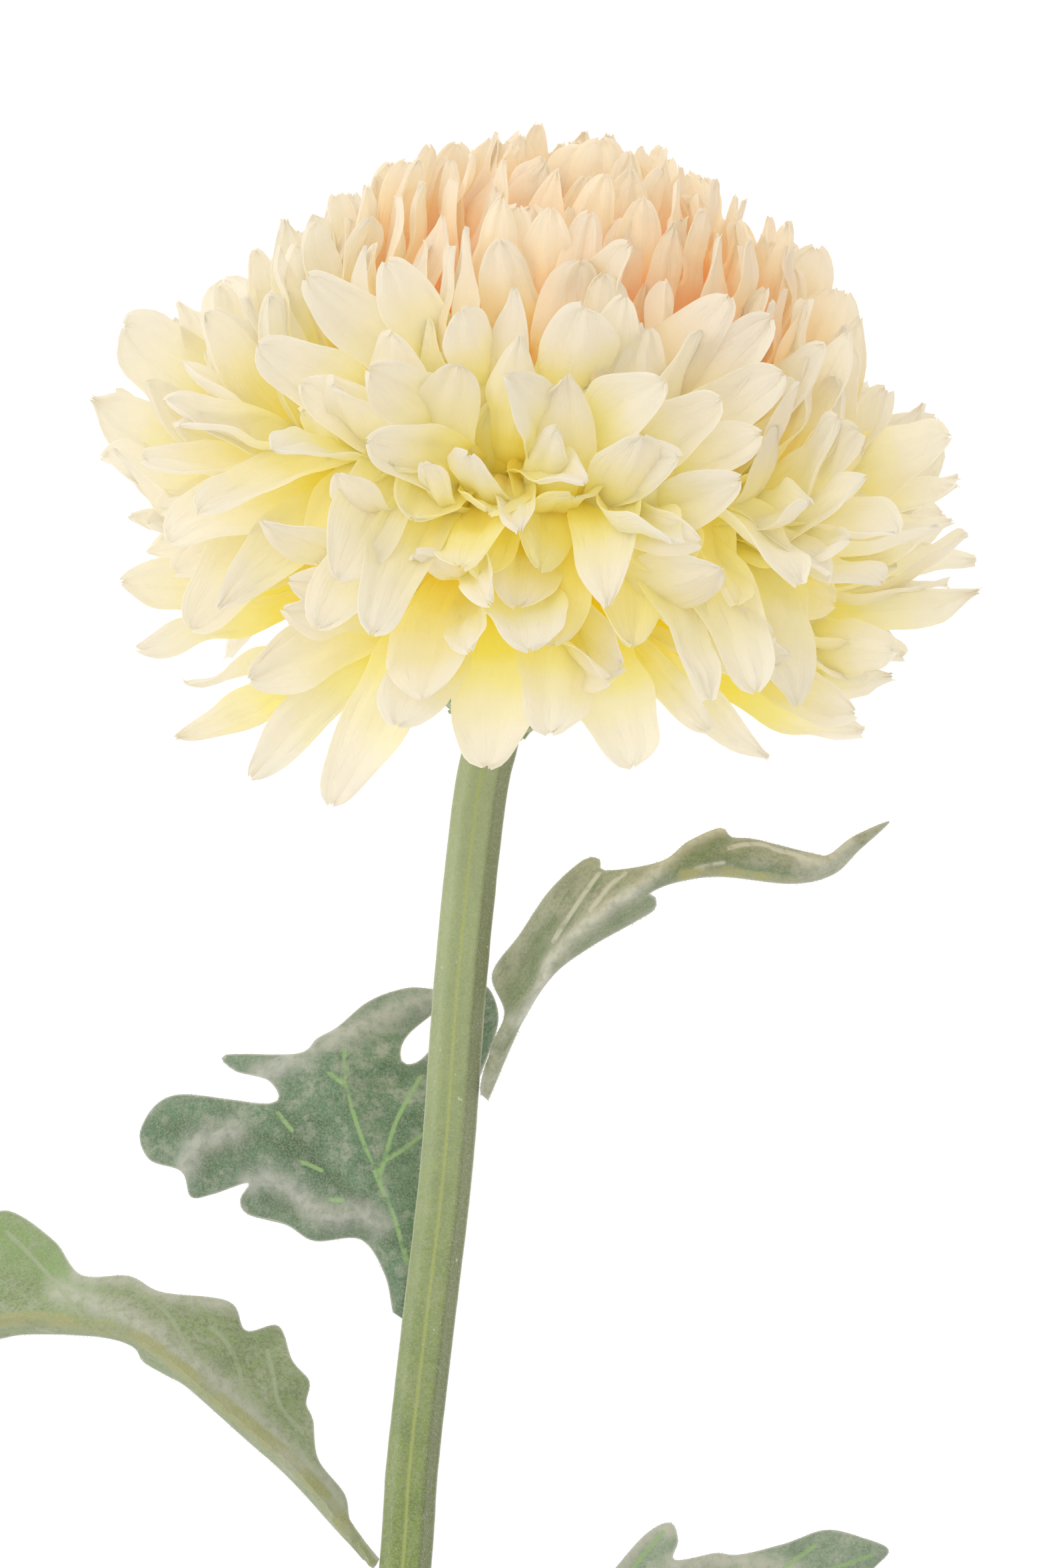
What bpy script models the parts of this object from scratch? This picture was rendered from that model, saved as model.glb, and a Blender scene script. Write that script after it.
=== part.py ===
"""Pompon chrysanthemum, one cut flower lying on a table.

Metres, +Z up. The stem runs along -Y to its cut end and the bloom lies towards +Y.
The origin is on the table, under the heart of the bloom, on the flat of a resting petal.
"""

import math
import random

import bmesh
import bpy
from mathutils import Matrix, Vector
from mathutils.geometry import delaunay_2d_cdt, interpolate_bezier

MM = 0.001
GAP = 0.3 * MM
SHARP_ANGLE = math.radians(40)

# Bloom: where its heart is, and how its axis points
HEART = Vector((0, 0, 66 * MM))
BLOOM_PITCH = math.radians(15)
BLOOM_LEAN = math.radians(10)
AXIS = Vector((
    math.sin(BLOOM_LEAN) * math.cos(BLOOM_PITCH),
    math.cos(BLOOM_LEAN) * math.cos(BLOOM_PITCH),
    math.sin(BLOOM_PITCH),
))
FRONT = (Vector((0, 0, 1)) - AXIS * AXIS.z).normalized()
RIGHT = AXIS.cross(FRONT)

# Bloom: how far petal tips stand from the heart, a dome above a wider brim, and the core inside
DOME_REACH = 62.5 * MM
BRIM_REACH = 74.5 * MM
BRIM_LATITUDE = math.radians(6)
DOME_LATITUDE = math.radians(30)
REACH_SPREAD = 0.04
CORE_RADIUS = 44.7 * MM
CORE_SHARE = CORE_RADIUS / BRIM_REACH
CORE_DEPTH = 30 * MM
CORE_SEAT_SHARE = 0.16
CROWN_CORE_GRID = (4, 18)
SKIRT_CORE_GRID = (9, 22)

# Petals stand on a golden-angle spiral, in cells that grow from the crown down to the rim
GOLDEN_ANGLE = math.pi * (3 - math.sqrt(5))
SPIRAL_START = math.radians(320)
CELL_AT_CROWN = 0.0170
CELL_GROWTH = 0.0165
LOWEST_HEIGHT = -0.69
PETAL_SEED = 11

# Where the crown's petals end and the skirt's begin, and how far both keep off that joint
SPLIT_LATITUDE = math.radians(38)
SPLIT_MARGIN = math.radians(4)
SPLIT_BLEND = math.radians(12)

# The long petals hang to this latitude, lower on the left and at the back, with short ones under them
RIM_LATITUDE = math.radians(-31)
RIM_TO_FRONT = math.radians(5)
RIM_TO_RIGHT = math.radians(9)
UNDER_PETAL_SHARE = 0.70

# One petal: a spoon, narrow at its root and widest near its tip, cupped and slightly rolled
ROOT_SHARE = 0.42
ROOT_WIDTH = 2.4 * MM
CROWN_PETAL_WIDTH = 8.6 * MM
RIM_PETAL_WIDTH = 13.5 * MM
CROWN_WIDTH_LATITUDE = math.radians(60)
RIM_WIDTH_LATITUDE = math.radians(-25)
WIDTH_SPREAD = 0.10
WIDENS_FROM = 0.15
WIDENS_TO = 0.78
PETAL_THICKNESS = 1.1 * MM
CUP_SHARE = 0.17
CUP_FROM = 0.1
CUP_TO = 0.6
TIP_SHARE = 0.30
TIP_SPREAD = 0.18
ROLL = math.radians(10)
ROLL_SPREAD = math.radians(9)
CURL = math.radians(2)
CURL_SWING = math.radians(9)
CURL_SPREAD = math.radians(5)
CURL_GAIN = 1.6
PATH_STEPS = 30
STATIONS = (0.0, 0.60, 0.86)

# Petals that reach the table bend along it, towards the crown
TABLE_CLEARANCE = 0.35 * MM
TABLE_BEND = 0.7

# Stem: points along its middle in millimetres, from under the neck, and its radius with six soft ribs
STEM_PATH = ((-9.6, -52, 52.8), (-12.8, -81.7, 47.1), (-15.4, -115.9, 40.6), (-18.9, -145.8, 34.9),
             (-21.6, -169.7, 30.3), (-22.9, -188, 26.8), (-27.2, -235, 17.3), (-33, -303, 3.9))
STEM_RADIUS = 4.4 * MM
STEM_RIBS = 6
STEM_RIB_DEPTH = 0.04
STEM_SIDES = 18
STEM_SHARES = 2
STEM_CUT_SLANT = math.radians(35)

# Calyx: a cup of pointed bracts between stem and bloom, its outer side as radius and depth in millimetres
CALYX_NECK_DEPTH = 41.8 * MM
CALYX_SIDE = ((5.2, 41.8), (6, 38.8), (11.5, 35.2), (18, 30.9))
CALYX_RIM_RADIUS = 23.5 * MM
CALYX_SEAT_SHARES = (1, 0.66, 0.33, 0)
CALYX_SEAT_GAP = 0.4 * MM
BRACTS = 13
BRACT_POINT = 2.75 * MM
BRACT_DROP = 0.42

# Leaves: thickness of blade, rib and petiole, and the waves along the margins
BLADE_THICKNESS = 0.8 * MM
RIB_THICKNESS = 1.3 * MM
PETIOLE_THICKNESS = 2.2 * MM
PETIOLE_SHARE = 0.12
PETIOLE_FADE = 0.25
RIB_ROUNDING = 1.2 * MM
WAVE_LENGTH = 17 * MM
WAVE_FROM = 2 * MM
WAVE_TO = 12 * MM
WAVE_OFFSET = 2.0
SLOPE_STEP = 0.2 * MM

# Each leaf, in millimetres: its midrib from petiole to tip, the outline seen from above on the
# left and right of that midrib, how steeply each half falls away, and the height of its waves
LEAF_A = {
    "midrib": ((-9.3, -103.5, 43.3), (-6.0, -95, 46), (-3.4, -89, 48), (0.5, -84.5, 50), (4.8, -79, 53),
               (9.5, -73.6, 56), (14.8, -69.2, 58), (20, -66, 59), (26, -63.8, 58.5), (32, -62.6, 56.5),
               (39, -62.6, 53.5), (46, -63.7, 50), (51.5, -62.6, 47.5), (62.1, -55.5, 46)),
    "left": ((-9.3, -102.6), (-7.4, -94.6), (-5.2, -88.9), (-7.4, -82.4), (-2.5, -75.3), (2.8, -67.5),
             (8.7, -62.2), (11.4, -62.1), (12.4, -64.0), (21.9, -62.4), (26.8, -58.9), (32.5, -56.6),
             (34.4, -58.2), (38.6, -58.6), (48.8, -61.1), (51.6, -61.2), (55.7, -58.2)),
    "right": ((-8.1, -104.4), (-4.4, -95.6), (-1.6, -89.6), (3.3, -82.2), (9.7, -77.3), (17.5, -72.9),
              (20.9, -70.7), (21.0, -68.6), (19.9, -67.9), (24.4, -66.0), (32.2, -65.0), (44.9, -66.3),
              (52.3, -64.7), (56.7, -60.6)),
    "falls": (1.7, 1.8),
    "wave": 0.9,
}
LEAF_B = {
    "midrib": ((-23.5, -143.2, 31.9), (-23.0, -134.4, 33.6), (-24.5, -125.9, 33.5), (-27.2, -118.7, 33),
               (-30.0, -112.6, 32), (-32.4, -106.1, 30.5), (-33.5, -101.2, 29), (-33.5, -96.3, 27.5),
               (-30.1, -88.1, 22)),
    "left": ((-25.0, -142.3), (-26.5, -135.4), (-30.7, -129.5), (-38.9, -129.9), (-44.0, -127.2),
             (-51.0, -125.6), (-52.4, -122.9), (-50.9, -119.9), (-57.4, -122.1), (-61.3, -122.6),
             (-62.9, -118.1), (-68.9, -116.0), (-70.4, -110.5), (-64.3, -104.7), (-46.8, -105.7),
             (-47.2, -101.8), (-53.5, -100.2), (-55.3, -97.5), (-42.2, -96.9), (-38.6, -94.2),
             (-35.0, -92.2)),
    "right": ((-22.6, -143.8), (-21.4, -134.4), (-17.3, -122.6), (-12.8, -108.4), (-8.4, -98.0),
              (-6.4, -90.9), (-8.2, -85.5), (-11.0, -86.5), (-19.1, -97.0), (-22.7, -98.7),
              (-23.8, -97.0), (-22.4, -93.6), (-15.3, -87.2), (-20.4, -85.4), (-25.2, -86.0)),
    "falls": (0.42, 0.40),
    "wave": 1.5,
}
LEAF_C = {
    "midrib": ((-28.0, -187.2, 27.1), (-33.5, -180.2, 30), (-41.5, -170, 35), (-49.5, -162.6, 38),
               (-58, -155.1, 39), (-64.8, -149.4, 38), (-71.4, -145.6, 36), (-79.3, -144.2, 32),
               (-87.7, -143.6, 27), (-97, -144.5, 22), (-112, -150, 14)),
    "left": ((-28.6, -188.3), (-35.0, -181.5), (-44.0, -171.2), (-53.5, -162.4), (-61.0, -155.5),
             (-65.2, -153.6), (-69.4, -151.4), (-71.0, -148.4), (-77.5, -146.9), (-90.2, -147.3),
             (-97, -148.6), (-104.5, -149.4)),
    "right": ((-28.0, -186.0), (-32.4, -179.9), (-33.6, -174.7), (-38.2, -168.2), (-39.2, -161.6),
              (-40.4, -158.6), (-39.9, -154.8), (-42.9, -151.1), (-45.5, -145.2), (-51.1, -145.7),
              (-54.2, -140.6), (-65.9, -138.9), (-71.9, -136.1), (-80.6, -136.1), (-86.0, -130.5),
              (-94.9, -125.6), (-100.5, -129.5), (-101, -137.5), (-108.5, -142.5)),
    "falls": (3.4, 0.9),
    "wave": 0.8,
}
LEAF_D = {
    "midrib": ((-20.1, -213.9, 21.9), (-8, -211, 26), (6, -206.5, 30), (20, -201, 31.5), (34, -195.5, 30),
               (48, -190, 26), (63.3, -185.6, 19)),
    "left": ((-20.0, -212.9), (-8, -209.6), (0.5, -206.0), (5.5, -198.5), (14.3, -188.3), (20.4, -182.0),
             (24.4, -180.4), (25.6, -183.4), (24.9, -186.6), (31.9, -185.6), (36.4, -185.9),
             (44.2, -184.1), (51.9, -181.9), (58.5, -183.4)),
    "right": ((-19.9, -214.9), (-8, -212.6), (2, -213.5), (10, -213.5), (15, -211), (19, -214.5),
              (27, -212), (31.5, -207), (34, -203), (40, -204.5), (46, -201.5), (48.5, -196.5),
              (54.5, -195), (60.5, -189)),
    "falls": (0.5, 0.55),
    "wave": 1.2,
}

# Base colour and roughness
CROWN_PEACH = ((0.90, 0.62, 0.42), 0.85)
SKIRT_CREAM = ((0.88, 0.80, 0.58), 0.85)
STEM_GREEN = ((0.28, 0.37, 0.16), 0.80)
LEAF_GREEN = ((0.24, 0.33, 0.20), 0.90)


def clear_scene():
    for item in list(bpy.data.objects):
        bpy.data.objects.remove(item, do_unlink=True)


def smooth_step(value, low, high):
    share = min(max((value - low) / (high - low), 0), 1)
    return share * share * (3 - 2 * share)


def mix(a, b, share):
    return a + (b - a) * share


def material(name, finish):
    colour, roughness = finish
    made = bpy.data.materials.new(name)
    made.use_nodes = True
    shader = made.node_tree.nodes["Principled BSDF"]
    shader.inputs["Base Color"].default_value = (*colour, 1)
    shader.inputs["Roughness"].default_value = roughness
    shader.inputs["Metallic"].default_value = 0
    return made


def add_object(name, bm, collection):
    """A new object from a bmesh, with its faces pointing out."""
    mesh = bpy.data.meshes.new(name)
    bmesh.ops.recalc_face_normals(bm, faces=bm.faces)
    bm.to_mesh(mesh)
    bm.free()
    made = bpy.data.objects.new(name, mesh)
    collection.objects.link(made)
    return made


def add_piece(name, bm, finish):
    """One piece of the flower, shaded smooth, with its own material."""
    made = add_object(name, bm, bpy.context.scene.collection)
    made.data.materials.append(material(name, finish))
    shade(made)
    return made


def shade(body):
    body.data.shade_smooth()
    body.data.set_sharp_from_angle(angle=SHARP_ANGLE)


def add_triangles(bm, a, b, c, d):
    """The four-sided face a, b, c, d as two triangles, split along its shorter diagonal."""
    if (a.co - c.co).length <= (b.co - d.co).length:
        bm.faces.new((a, b, c))
        bm.faces.new((a, c, d))
    else:
        bm.faces.new((a, b, d))
        bm.faces.new((b, c, d))


def join_rings(bm, rings):
    """Skin from ring to ring of vertices that run the same way round; a ring of one is a pole."""
    for lower, upper in zip(rings, rings[1:]):
        count = max(len(lower), len(upper))
        for corner in range(count):
            following = (corner + 1) % count
            if len(lower) == 1:
                bm.faces.new((lower[0], upper[following], upper[corner]))
            elif len(upper) == 1:
                bm.faces.new((lower[corner], lower[following], upper[0]))
            else:
                add_triangles(bm, lower[corner], lower[following], upper[following], upper[corner])


# Cutting


def cut_plane(bm, point, normal):
    """Cuts off what lies beyond a plane and closes the cuts with flat faces."""
    geometry = list(bm.verts) + list(bm.edges) + list(bm.faces)
    cut = bmesh.ops.bisect_plane(bm, geom=geometry, plane_co=point, plane_no=normal, clear_outer=True)
    edges = [item for item in cut["geom_cut"] if isinstance(item, bmesh.types.BMEdge)]
    bmesh.ops.holes_fill(bm, edges=[edge for edge in edges if edge.is_boundary])


def cut_at_table(bm):
    """Cuts off what lies under the table's surface, which leaves flats to rest on."""
    cut_plane(bm, (0, 0, 0), (0, 0, -1))
    bmesh.ops.triangulate(bm, faces=[face for face in bm.faces if len(face.verts) > 3])


# Bloom


def level_way(longitude):
    """The direction square to the bloom's axis at a longitude, which is 0 at the front."""
    return FRONT * math.cos(longitude) + RIGHT * math.sin(longitude)


def outward(latitude, longitude):
    return AXIS * math.sin(latitude) + level_way(longitude) * math.cos(latitude)


def crownward(latitude, longitude):
    return AXIS * math.cos(latitude) - level_way(longitude) * math.sin(latitude)


def reach(latitude):
    """How far petal tips stand from the heart."""
    return mix(BRIM_REACH, DOME_REACH, smooth_step(latitude, BRIM_LATITUDE, DOME_LATITUDE))


def core_radius(latitude):
    """The core follows the dome above and is a shallow bowl below."""
    if latitude >= 0:
        return CORE_SHARE * reach(latitude)
    return 1 / math.hypot(math.cos(latitude) / CORE_RADIUS, math.sin(latitude) / CORE_DEPTH)


def rim_latitude(longitude):
    return RIM_LATITUDE + RIM_TO_FRONT * math.cos(longitude) + RIM_TO_RIGHT * math.sin(longitude)


def clear_of_split(latitude):
    """Petals keep clear of the joint between the crown's core and the skirt's."""
    off = latitude - SPLIT_LATITUDE
    if abs(off) >= SPLIT_BLEND:
        return latitude
    spread = SPLIT_MARGIN + abs(off) * (1 - SPLIT_MARGIN / SPLIT_BLEND)
    return SPLIT_LATITUDE + math.copysign(spread, off)


def petal_places():
    """Latitude, longitude and five seeded draws for each petal, from the crown's top down."""
    draw = random.Random(PETAL_SEED)
    places = []
    while True:
        number = len(places)
        turned = (number + 0.5) * CELL_GROWTH / (2 * math.pi)
        height = 1 - (math.exp(turned) - 1) * CELL_AT_CROWN / CELL_GROWTH
        if height < LOWEST_HEIGHT:
            return places
        longitude = (SPIRAL_START + number * GOLDEN_ANGLE) % (2 * math.pi)
        draws = [draw.uniform(-1, 1) for _ in range(5)]
        places.append((clear_of_split(math.asin(height)), longitude, draws))


def petal_size(latitude, longitude, draws):
    """A petal's tip distance, its greatest width and how far it curls towards the crown."""
    down = smooth_step(-latitude, -CROWN_WIDTH_LATITUDE, -RIM_WIDTH_LATITUDE)
    width = mix(CROWN_PETAL_WIDTH, RIM_PETAL_WIDTH, down) * (1 + WIDTH_SPREAD * draws[1])
    far = reach(latitude) * (1 + REACH_SPREAD * draws[0])
    curl = CURL + CURL_SWING * math.sin(2 * latitude) + CURL_SPREAD * draws[2]
    if latitude < rim_latitude(longitude):
        return far * UNDER_PETAL_SHARE, width * UNDER_PETAL_SHARE, curl
    return far, width, curl


def along_table(way, up, sink):
    """A direction that sinks by the given share and otherwise runs level, drawn towards up."""
    level = Vector((way.x, way.y, 0)) + TABLE_BEND * Vector((up.x, up.y, 0))
    return level.normalized() * math.sqrt(1 - sink * sink) + Vector((0, 0, sink))


def petal_path(latitude, longitude, far, curl):
    """Points and directions along a petal's middle; at the table it bends along it."""
    along = outward(latitude, longitude)
    up = crownward(latitude, longitude)
    start = ROOT_SHARE * reach(latitude)
    step = (far - start) / PATH_STEPS
    point = HEART + along * start
    path = [(point, along)]
    for number in range(PATH_STEPS):
        turn = curl * CURL_GAIN * (number + 0.5) / PATH_STEPS
        way = along * math.cos(turn) + up * math.sin(turn)
        if point.z + way.z * step < TABLE_CLEARANCE:
            sink = max((TABLE_CLEARANCE - point.z) / step, -1)
            way = along_table(way, up, sink)
        point = point + way * step
        path.append((point, way))
    return path


def petal_section(point, way, place, roll, width, cup):
    """Left edge, outer ridge, right edge and inner groove of a petal's cupped section."""
    across = AXIS.cross(outward(*place)).normalized()
    across = (across - way * across.dot(way)).normalized()
    across = Matrix.Rotation(roll, 3, way) @ across
    up = way.cross(across)
    if up.dot(crownward(*place)) < 0:
        up = -up
        across = -across
    half = across * (width / 2)
    middle = up * (PETAL_THICKNESS / 2)
    return point - half + up * cup, point - middle, point + half + up * cup, point + middle


def petal_mesh(latitude, longitude, draws):
    """A closed petal: a four-sided skin from root to shoulder, and a blunt tip."""
    place = (latitude, longitude)
    far, width, curl = petal_size(latitude, longitude, draws)
    path = petal_path(latitude, longitude, far, curl)
    roll = ROLL + ROLL_SPREAD * draws[3]
    bm = bmesh.new()
    rings = []
    for share in STATIONS:
        point, way = path[round(share * PATH_STEPS)]
        wide = mix(ROOT_WIDTH, width, smooth_step(share, WIDENS_FROM, WIDENS_TO))
        cup = wide * CUP_SHARE * smooth_step(share, CUP_FROM, CUP_TO)
        rings.append([bm.verts.new(corner) for corner in petal_section(point, way, place, roll, wide, cup)])
    bm.faces.new(rings[0])
    join_rings(bm, rings)
    point, way = path[-1]
    tip_width = width * (TIP_SHARE + TIP_SPREAD * draws[4])
    tip = petal_section(point, way, place, roll, tip_width, PETAL_THICKNESS / 2)
    tip_left = bm.verts.new(tip[0])
    tip_right = bm.verts.new(tip[2])
    left, ridge, right, groove = rings[-1]
    for middle in (ridge, groove):
        bm.faces.new((left, middle, tip_left))
        bm.faces.new((middle, right, tip_right))
        bm.faces.new((middle, tip_right, tip_left))
    return bm


def circle(radius, height, sides):
    """Points round the bloom's axis, in its own frame; a circle of no radius is one point."""
    if radius == 0:
        return [(0, 0, height)]
    angles = [2 * math.pi * side / sides for side in range(sides)]
    return [(radius * math.sin(angle), radius * math.cos(angle), height) for angle in angles]


def turned_solid(circles):
    """A closed solid through circles about the bloom's axis, the first and last of one point."""
    bm = bmesh.new()
    join_rings(bm, [[bm.verts.new(point) for point in points] for points in circles])
    turned = Matrix((RIGHT, FRONT, AXIS)).transposed().to_4x4()
    bm.transform(Matrix.Translation(HEART) @ turned)
    return bm


def core_arc(low, high, steps):
    """Radius and height of points on the core between two latitudes."""
    arc = []
    for step in range(steps + 1):
        latitude = mix(low, high, step / steps)
        radius = core_radius(latitude)
        arc.append((radius * math.cos(latitude), radius * math.sin(latitude)))
    return arc


def core_seat():
    """Radius and height where the conical joint between the two cores ends in a small flat."""
    radius = core_radius(SPLIT_LATITUDE) * CORE_SEAT_SHARE
    return radius * math.cos(SPLIT_LATITUDE), radius * math.sin(SPLIT_LATITUDE)


def crown_core():
    """The upper core, which sits in the lower one's conical hollow with a gap."""
    steps, sides = CROWN_CORE_GRID
    lift = GAP / math.cos(SPLIT_LATITUDE)
    seat_radius, seat_height = core_seat()
    arc = core_arc(SPLIT_LATITUDE, math.pi / 2, steps)
    rim_radius, rim_height = arc[0]
    profile = [(0, seat_height + lift), (seat_radius, seat_height + lift), (rim_radius, rim_height + lift),
               *arc[1:-1], (0, arc[-1][1])]
    return turned_solid([circle(radius, height, sides) for radius, height in profile])


def skirt_core():
    """The lower core: a shallow bowl below, and a conical hollow on top."""
    steps, sides = SKIRT_CORE_GRID
    seat_radius, seat_height = core_seat()
    arc = core_arc(-math.pi / 2, SPLIT_LATITUDE, steps)
    profile = [(0, arc[0][1]), *arc[1:], (seat_radius, seat_height), (0, seat_height)]
    return turned_solid([circle(radius, height, sides) for radius, height in profile])


def fuse(body, petals):
    """Joins a collection's petals into the body, and removes the loose ones."""
    union = body.modifiers.new("join", "BOOLEAN")
    union.operation = "UNION"
    union.operand_type = "COLLECTION"
    union.collection = petals
    union.solver = "MANIFOLD"
    bpy.context.view_layer.objects.active = body
    body.select_set(True)
    bpy.ops.object.modifier_apply(modifier=union.name)
    for petal in list(petals.objects):
        bpy.data.objects.remove(petal, do_unlink=True)
    bpy.data.collections.remove(petals)


def connected_shells(bm):
    """The mesh's separate shells, as lists of vertices, largest first."""
    unseen = set(bm.verts)
    shells = []
    while unseen:
        waiting = [unseen.pop()]
        shell = []
        while waiting:
            vertex = waiting.pop()
            shell.append(vertex)
            others = {edge.other_vert(vertex) for edge in vertex.link_edges} & unseen
            unseen -= others
            waiting.extend(others)
        shells.append(shell)
    return sorted(shells, key=len, reverse=True)


def finish_bloom(body):
    """Fills hollows that the union sealed, drops loose scraps and flattens what rests."""
    bm = bmesh.new()
    bm.from_mesh(body.data)
    for shell in connected_shells(bm)[1:]:
        bmesh.ops.delete(bm, geom=shell, context="VERTS")
    cut_at_table(bm)
    bm.to_mesh(body.data)
    bm.free()
    shade(body)


def make_bloom(name, core, places, finish):
    """One colour of the bloom: a core with its petals fused to it."""
    petals = bpy.data.collections.new(name + "_petals")
    bpy.context.scene.collection.children.link(petals)
    for number, place in enumerate(places):
        add_object(f"{name}_petal_{number}", petal_mesh(*place), petals)
    body = add_piece(name, core, finish)
    fuse(body, petals)
    finish_bloom(body)


# Calyx and stem


def bract_circle(radius, height, sides):
    """A circle whose every second point is drawn in and down, between the points of two bracts."""
    outer = circle(radius, height, sides)
    inner = circle(radius - BRACT_POINT, height - BRACT_POINT * BRACT_DROP, sides)
    return [pair[side % 2] for side, pair in enumerate(zip(outer, inner))]


def make_calyx():
    """A cup whose rim runs out into pointed bracts, and whose inside follows the core."""
    sides = BRACTS * 2
    circles = [circle(0, -CALYX_NECK_DEPTH, sides)]
    circles += [circle(radius * MM, -depth * MM, sides) for radius, depth in CALYX_SIDE[:-1]]
    rim_radius, rim_depth = CALYX_SIDE[-1]
    circles.append(bract_circle(rim_radius * MM, -rim_depth * MM, sides))
    for share in CALYX_SEAT_SHARES:
        radius = CALYX_RIM_RADIUS * share
        height = -CORE_DEPTH * math.sqrt(1 - (radius / CORE_RADIUS) ** 2) - CALYX_SEAT_GAP
        circles.append(bract_circle(radius, height, sides) if share == 1 else circle(radius, height, sides))
    add_piece("calyx", turned_solid(circles), STEM_GREEN)


def smooth_run(points, shares):
    """Points of a smooth curve through the given points, with several for each stretch."""
    run = [2 * points[0] - points[1], *points, 2 * points[-1] - points[-2]]
    made = []
    for before, start, end, after in zip(run, run[1:], run[2:], run[3:]):
        near = start + (end - before) / 6
        far = end - (after - start) / 6
        made.extend(interpolate_bezier(start, near, far, end, shares + 1)[:-1])
    return [*made, points[-1]]


def stem_ring(point, way):
    """Points of the ribbed section round a place on the stem's middle."""
    side = way.cross(Vector((0, 0, 1))).normalized()
    up = side.cross(way)
    ring = []
    for corner in range(STEM_SIDES):
        angle = 2 * math.pi * corner / STEM_SIDES
        radius = STEM_RADIUS * (1 + STEM_RIB_DEPTH * math.cos(STEM_RIBS * angle))
        ring.append(point + (side * math.cos(angle) + up * math.sin(angle)) * radius)
    return ring


def make_stem():
    """The ribbed stem, square to the calyx's neck at its top and cut on a slant at its end."""
    neck = HEART - AXIS * (CALYX_NECK_DEPTH + GAP)
    path = smooth_run([neck, *(Vector(point) * MM for point in STEM_PATH)], STEM_SHARES)
    end = path[-1]
    away = (end - path[-2]).normalized()
    path.append(end + (end - path[-2]))
    ways = [-AXIS, *((after - before).normalized() for before, after in zip(path, path[2:])), away]
    bm = bmesh.new()
    rings = []
    for point, way in zip(path, ways):
        rings.append([bm.verts.new(corner) for corner in stem_ring(point, way)])
    bm.faces.new(rings[0])
    bm.faces.new(rings[-1])
    join_rings(bm, rings)
    cut_plane(bm, end, Matrix.Rotation(STEM_CUT_SLANT, 3, Vector((0, 0, 1))) @ away)
    cut_at_table(bm)
    add_piece("stem", bm, STEM_GREEN)


# Leaves


def along_midrib(midrib, spot):
    """From the nearest place on the midrib, seen from above: distance to the spot, height there,
    distance travelled from the petiole, and whether the spot lies on the left."""
    travelled = 0
    best = (math.inf,)
    for start, end in zip(midrib, midrib[1:]):
        run = end.xy - start.xy
        share = min(max((spot - start.xy).dot(run) / run.length_squared, 0), 1)
        nearest = start.lerp(end, share)
        off = spot - nearest.xy
        if off.length < best[0]:
            best = (off.length, nearest.z, travelled + share * run.length, run.cross(off) > 0)
        travelled += run.length
    return best


def leaf_height(leaf, midrib, spot):
    """Height of a leaf's middle surface: it falls from the rib and waves towards its margin."""
    off, height, travelled, on_left = along_midrib(midrib, spot)
    fall = leaf["falls"][0 if on_left else 1]
    dropped = fall * (math.hypot(off, RIB_ROUNDING) - RIB_ROUNDING)
    turn = 2 * math.pi * travelled / WAVE_LENGTH + (0 if on_left else WAVE_OFFSET)
    return height - dropped + leaf["wave"] * MM * smooth_step(off, WAVE_FROM, WAVE_TO) * math.sin(turn)


def leaf_normal(leaf, midrib, spot):
    """The direction square to a leaf's middle surface, upwards."""
    slopes = []
    for step in (Vector((SLOPE_STEP, 0)), Vector((0, SLOPE_STEP))):
        rise = leaf_height(leaf, midrib, spot + step) - leaf_height(leaf, midrib, spot - step)
        slopes.append(rise / (2 * SLOPE_STEP))
    return Vector((-slopes[0], -slopes[1], 1)).normalized()


def leaf_thickness(midrib, spot, on_rib):
    """The blade's own thickness, or the rib's, which swells towards the petiole."""
    if not on_rib:
        return BLADE_THICKNESS
    length = sum((end.xy - start.xy).length for start, end in zip(midrib, midrib[1:]))
    travelled = along_midrib(midrib, spot)[2]
    stalk = 1 - smooth_step(travelled, PETIOLE_SHARE * length, PETIOLE_FADE * length)
    return mix(RIB_THICKNESS, PETIOLE_THICKNESS, stalk)


def leaf_triangles(midrib, left, right):
    """The leaf seen from above: spots, their triangles, and which spots lie on the midrib.
    The triangles keep to the outline and to the midrib."""
    rib = [point.xy for point in midrib]
    spots = [*left, rib[-1], *reversed(right), *rib[:-1]]
    corners = len(left) + len(right) + 2
    edges = [(corner, (corner + 1) % corners) for corner in range(corners)]
    on_rib = [*range(corners - 1, len(spots)), len(left)]
    edges += zip(on_rib, on_rib[1:])
    return spots, delaunay_2d_cdt(spots, edges, [], 1, 1e-7)[2], set(on_rib)


def make_leaf(name, leaf):
    """A lobed blade with its rib and petiole: the same triangles on both faces, and a rim between."""
    midrib = [Vector(point) * MM for point in leaf["midrib"]]
    left = [Vector(point) * MM for point in leaf["left"]]
    right = [Vector(point) * MM for point in leaf["right"]]
    spots, triangles, on_rib = leaf_triangles(midrib, left, right)
    bm = bmesh.new()
    tops = []
    bottoms = []
    for number, spot in enumerate(spots):
        middle = Vector((*spot, leaf_height(leaf, midrib, spot)))
        half = leaf_normal(leaf, midrib, spot) * leaf_thickness(midrib, spot, number in on_rib) / 2
        tops.append(bm.verts.new(middle + half))
        bottoms.append(bm.verts.new(middle - half))
    borders = set()
    for triangle in triangles:
        bm.faces.new([tops[corner] for corner in triangle])
        bm.faces.new([bottoms[corner] for corner in reversed(triangle)])
        borders.update(zip(triangle, (*triangle[1:], triangle[0])))
    for start, end in sorted(borders):
        if (end, start) not in borders:
            add_triangles(bm, tops[start], bottoms[start], bottoms[end], tops[end])
    add_piece(name, bm, LEAF_GREEN)


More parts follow.
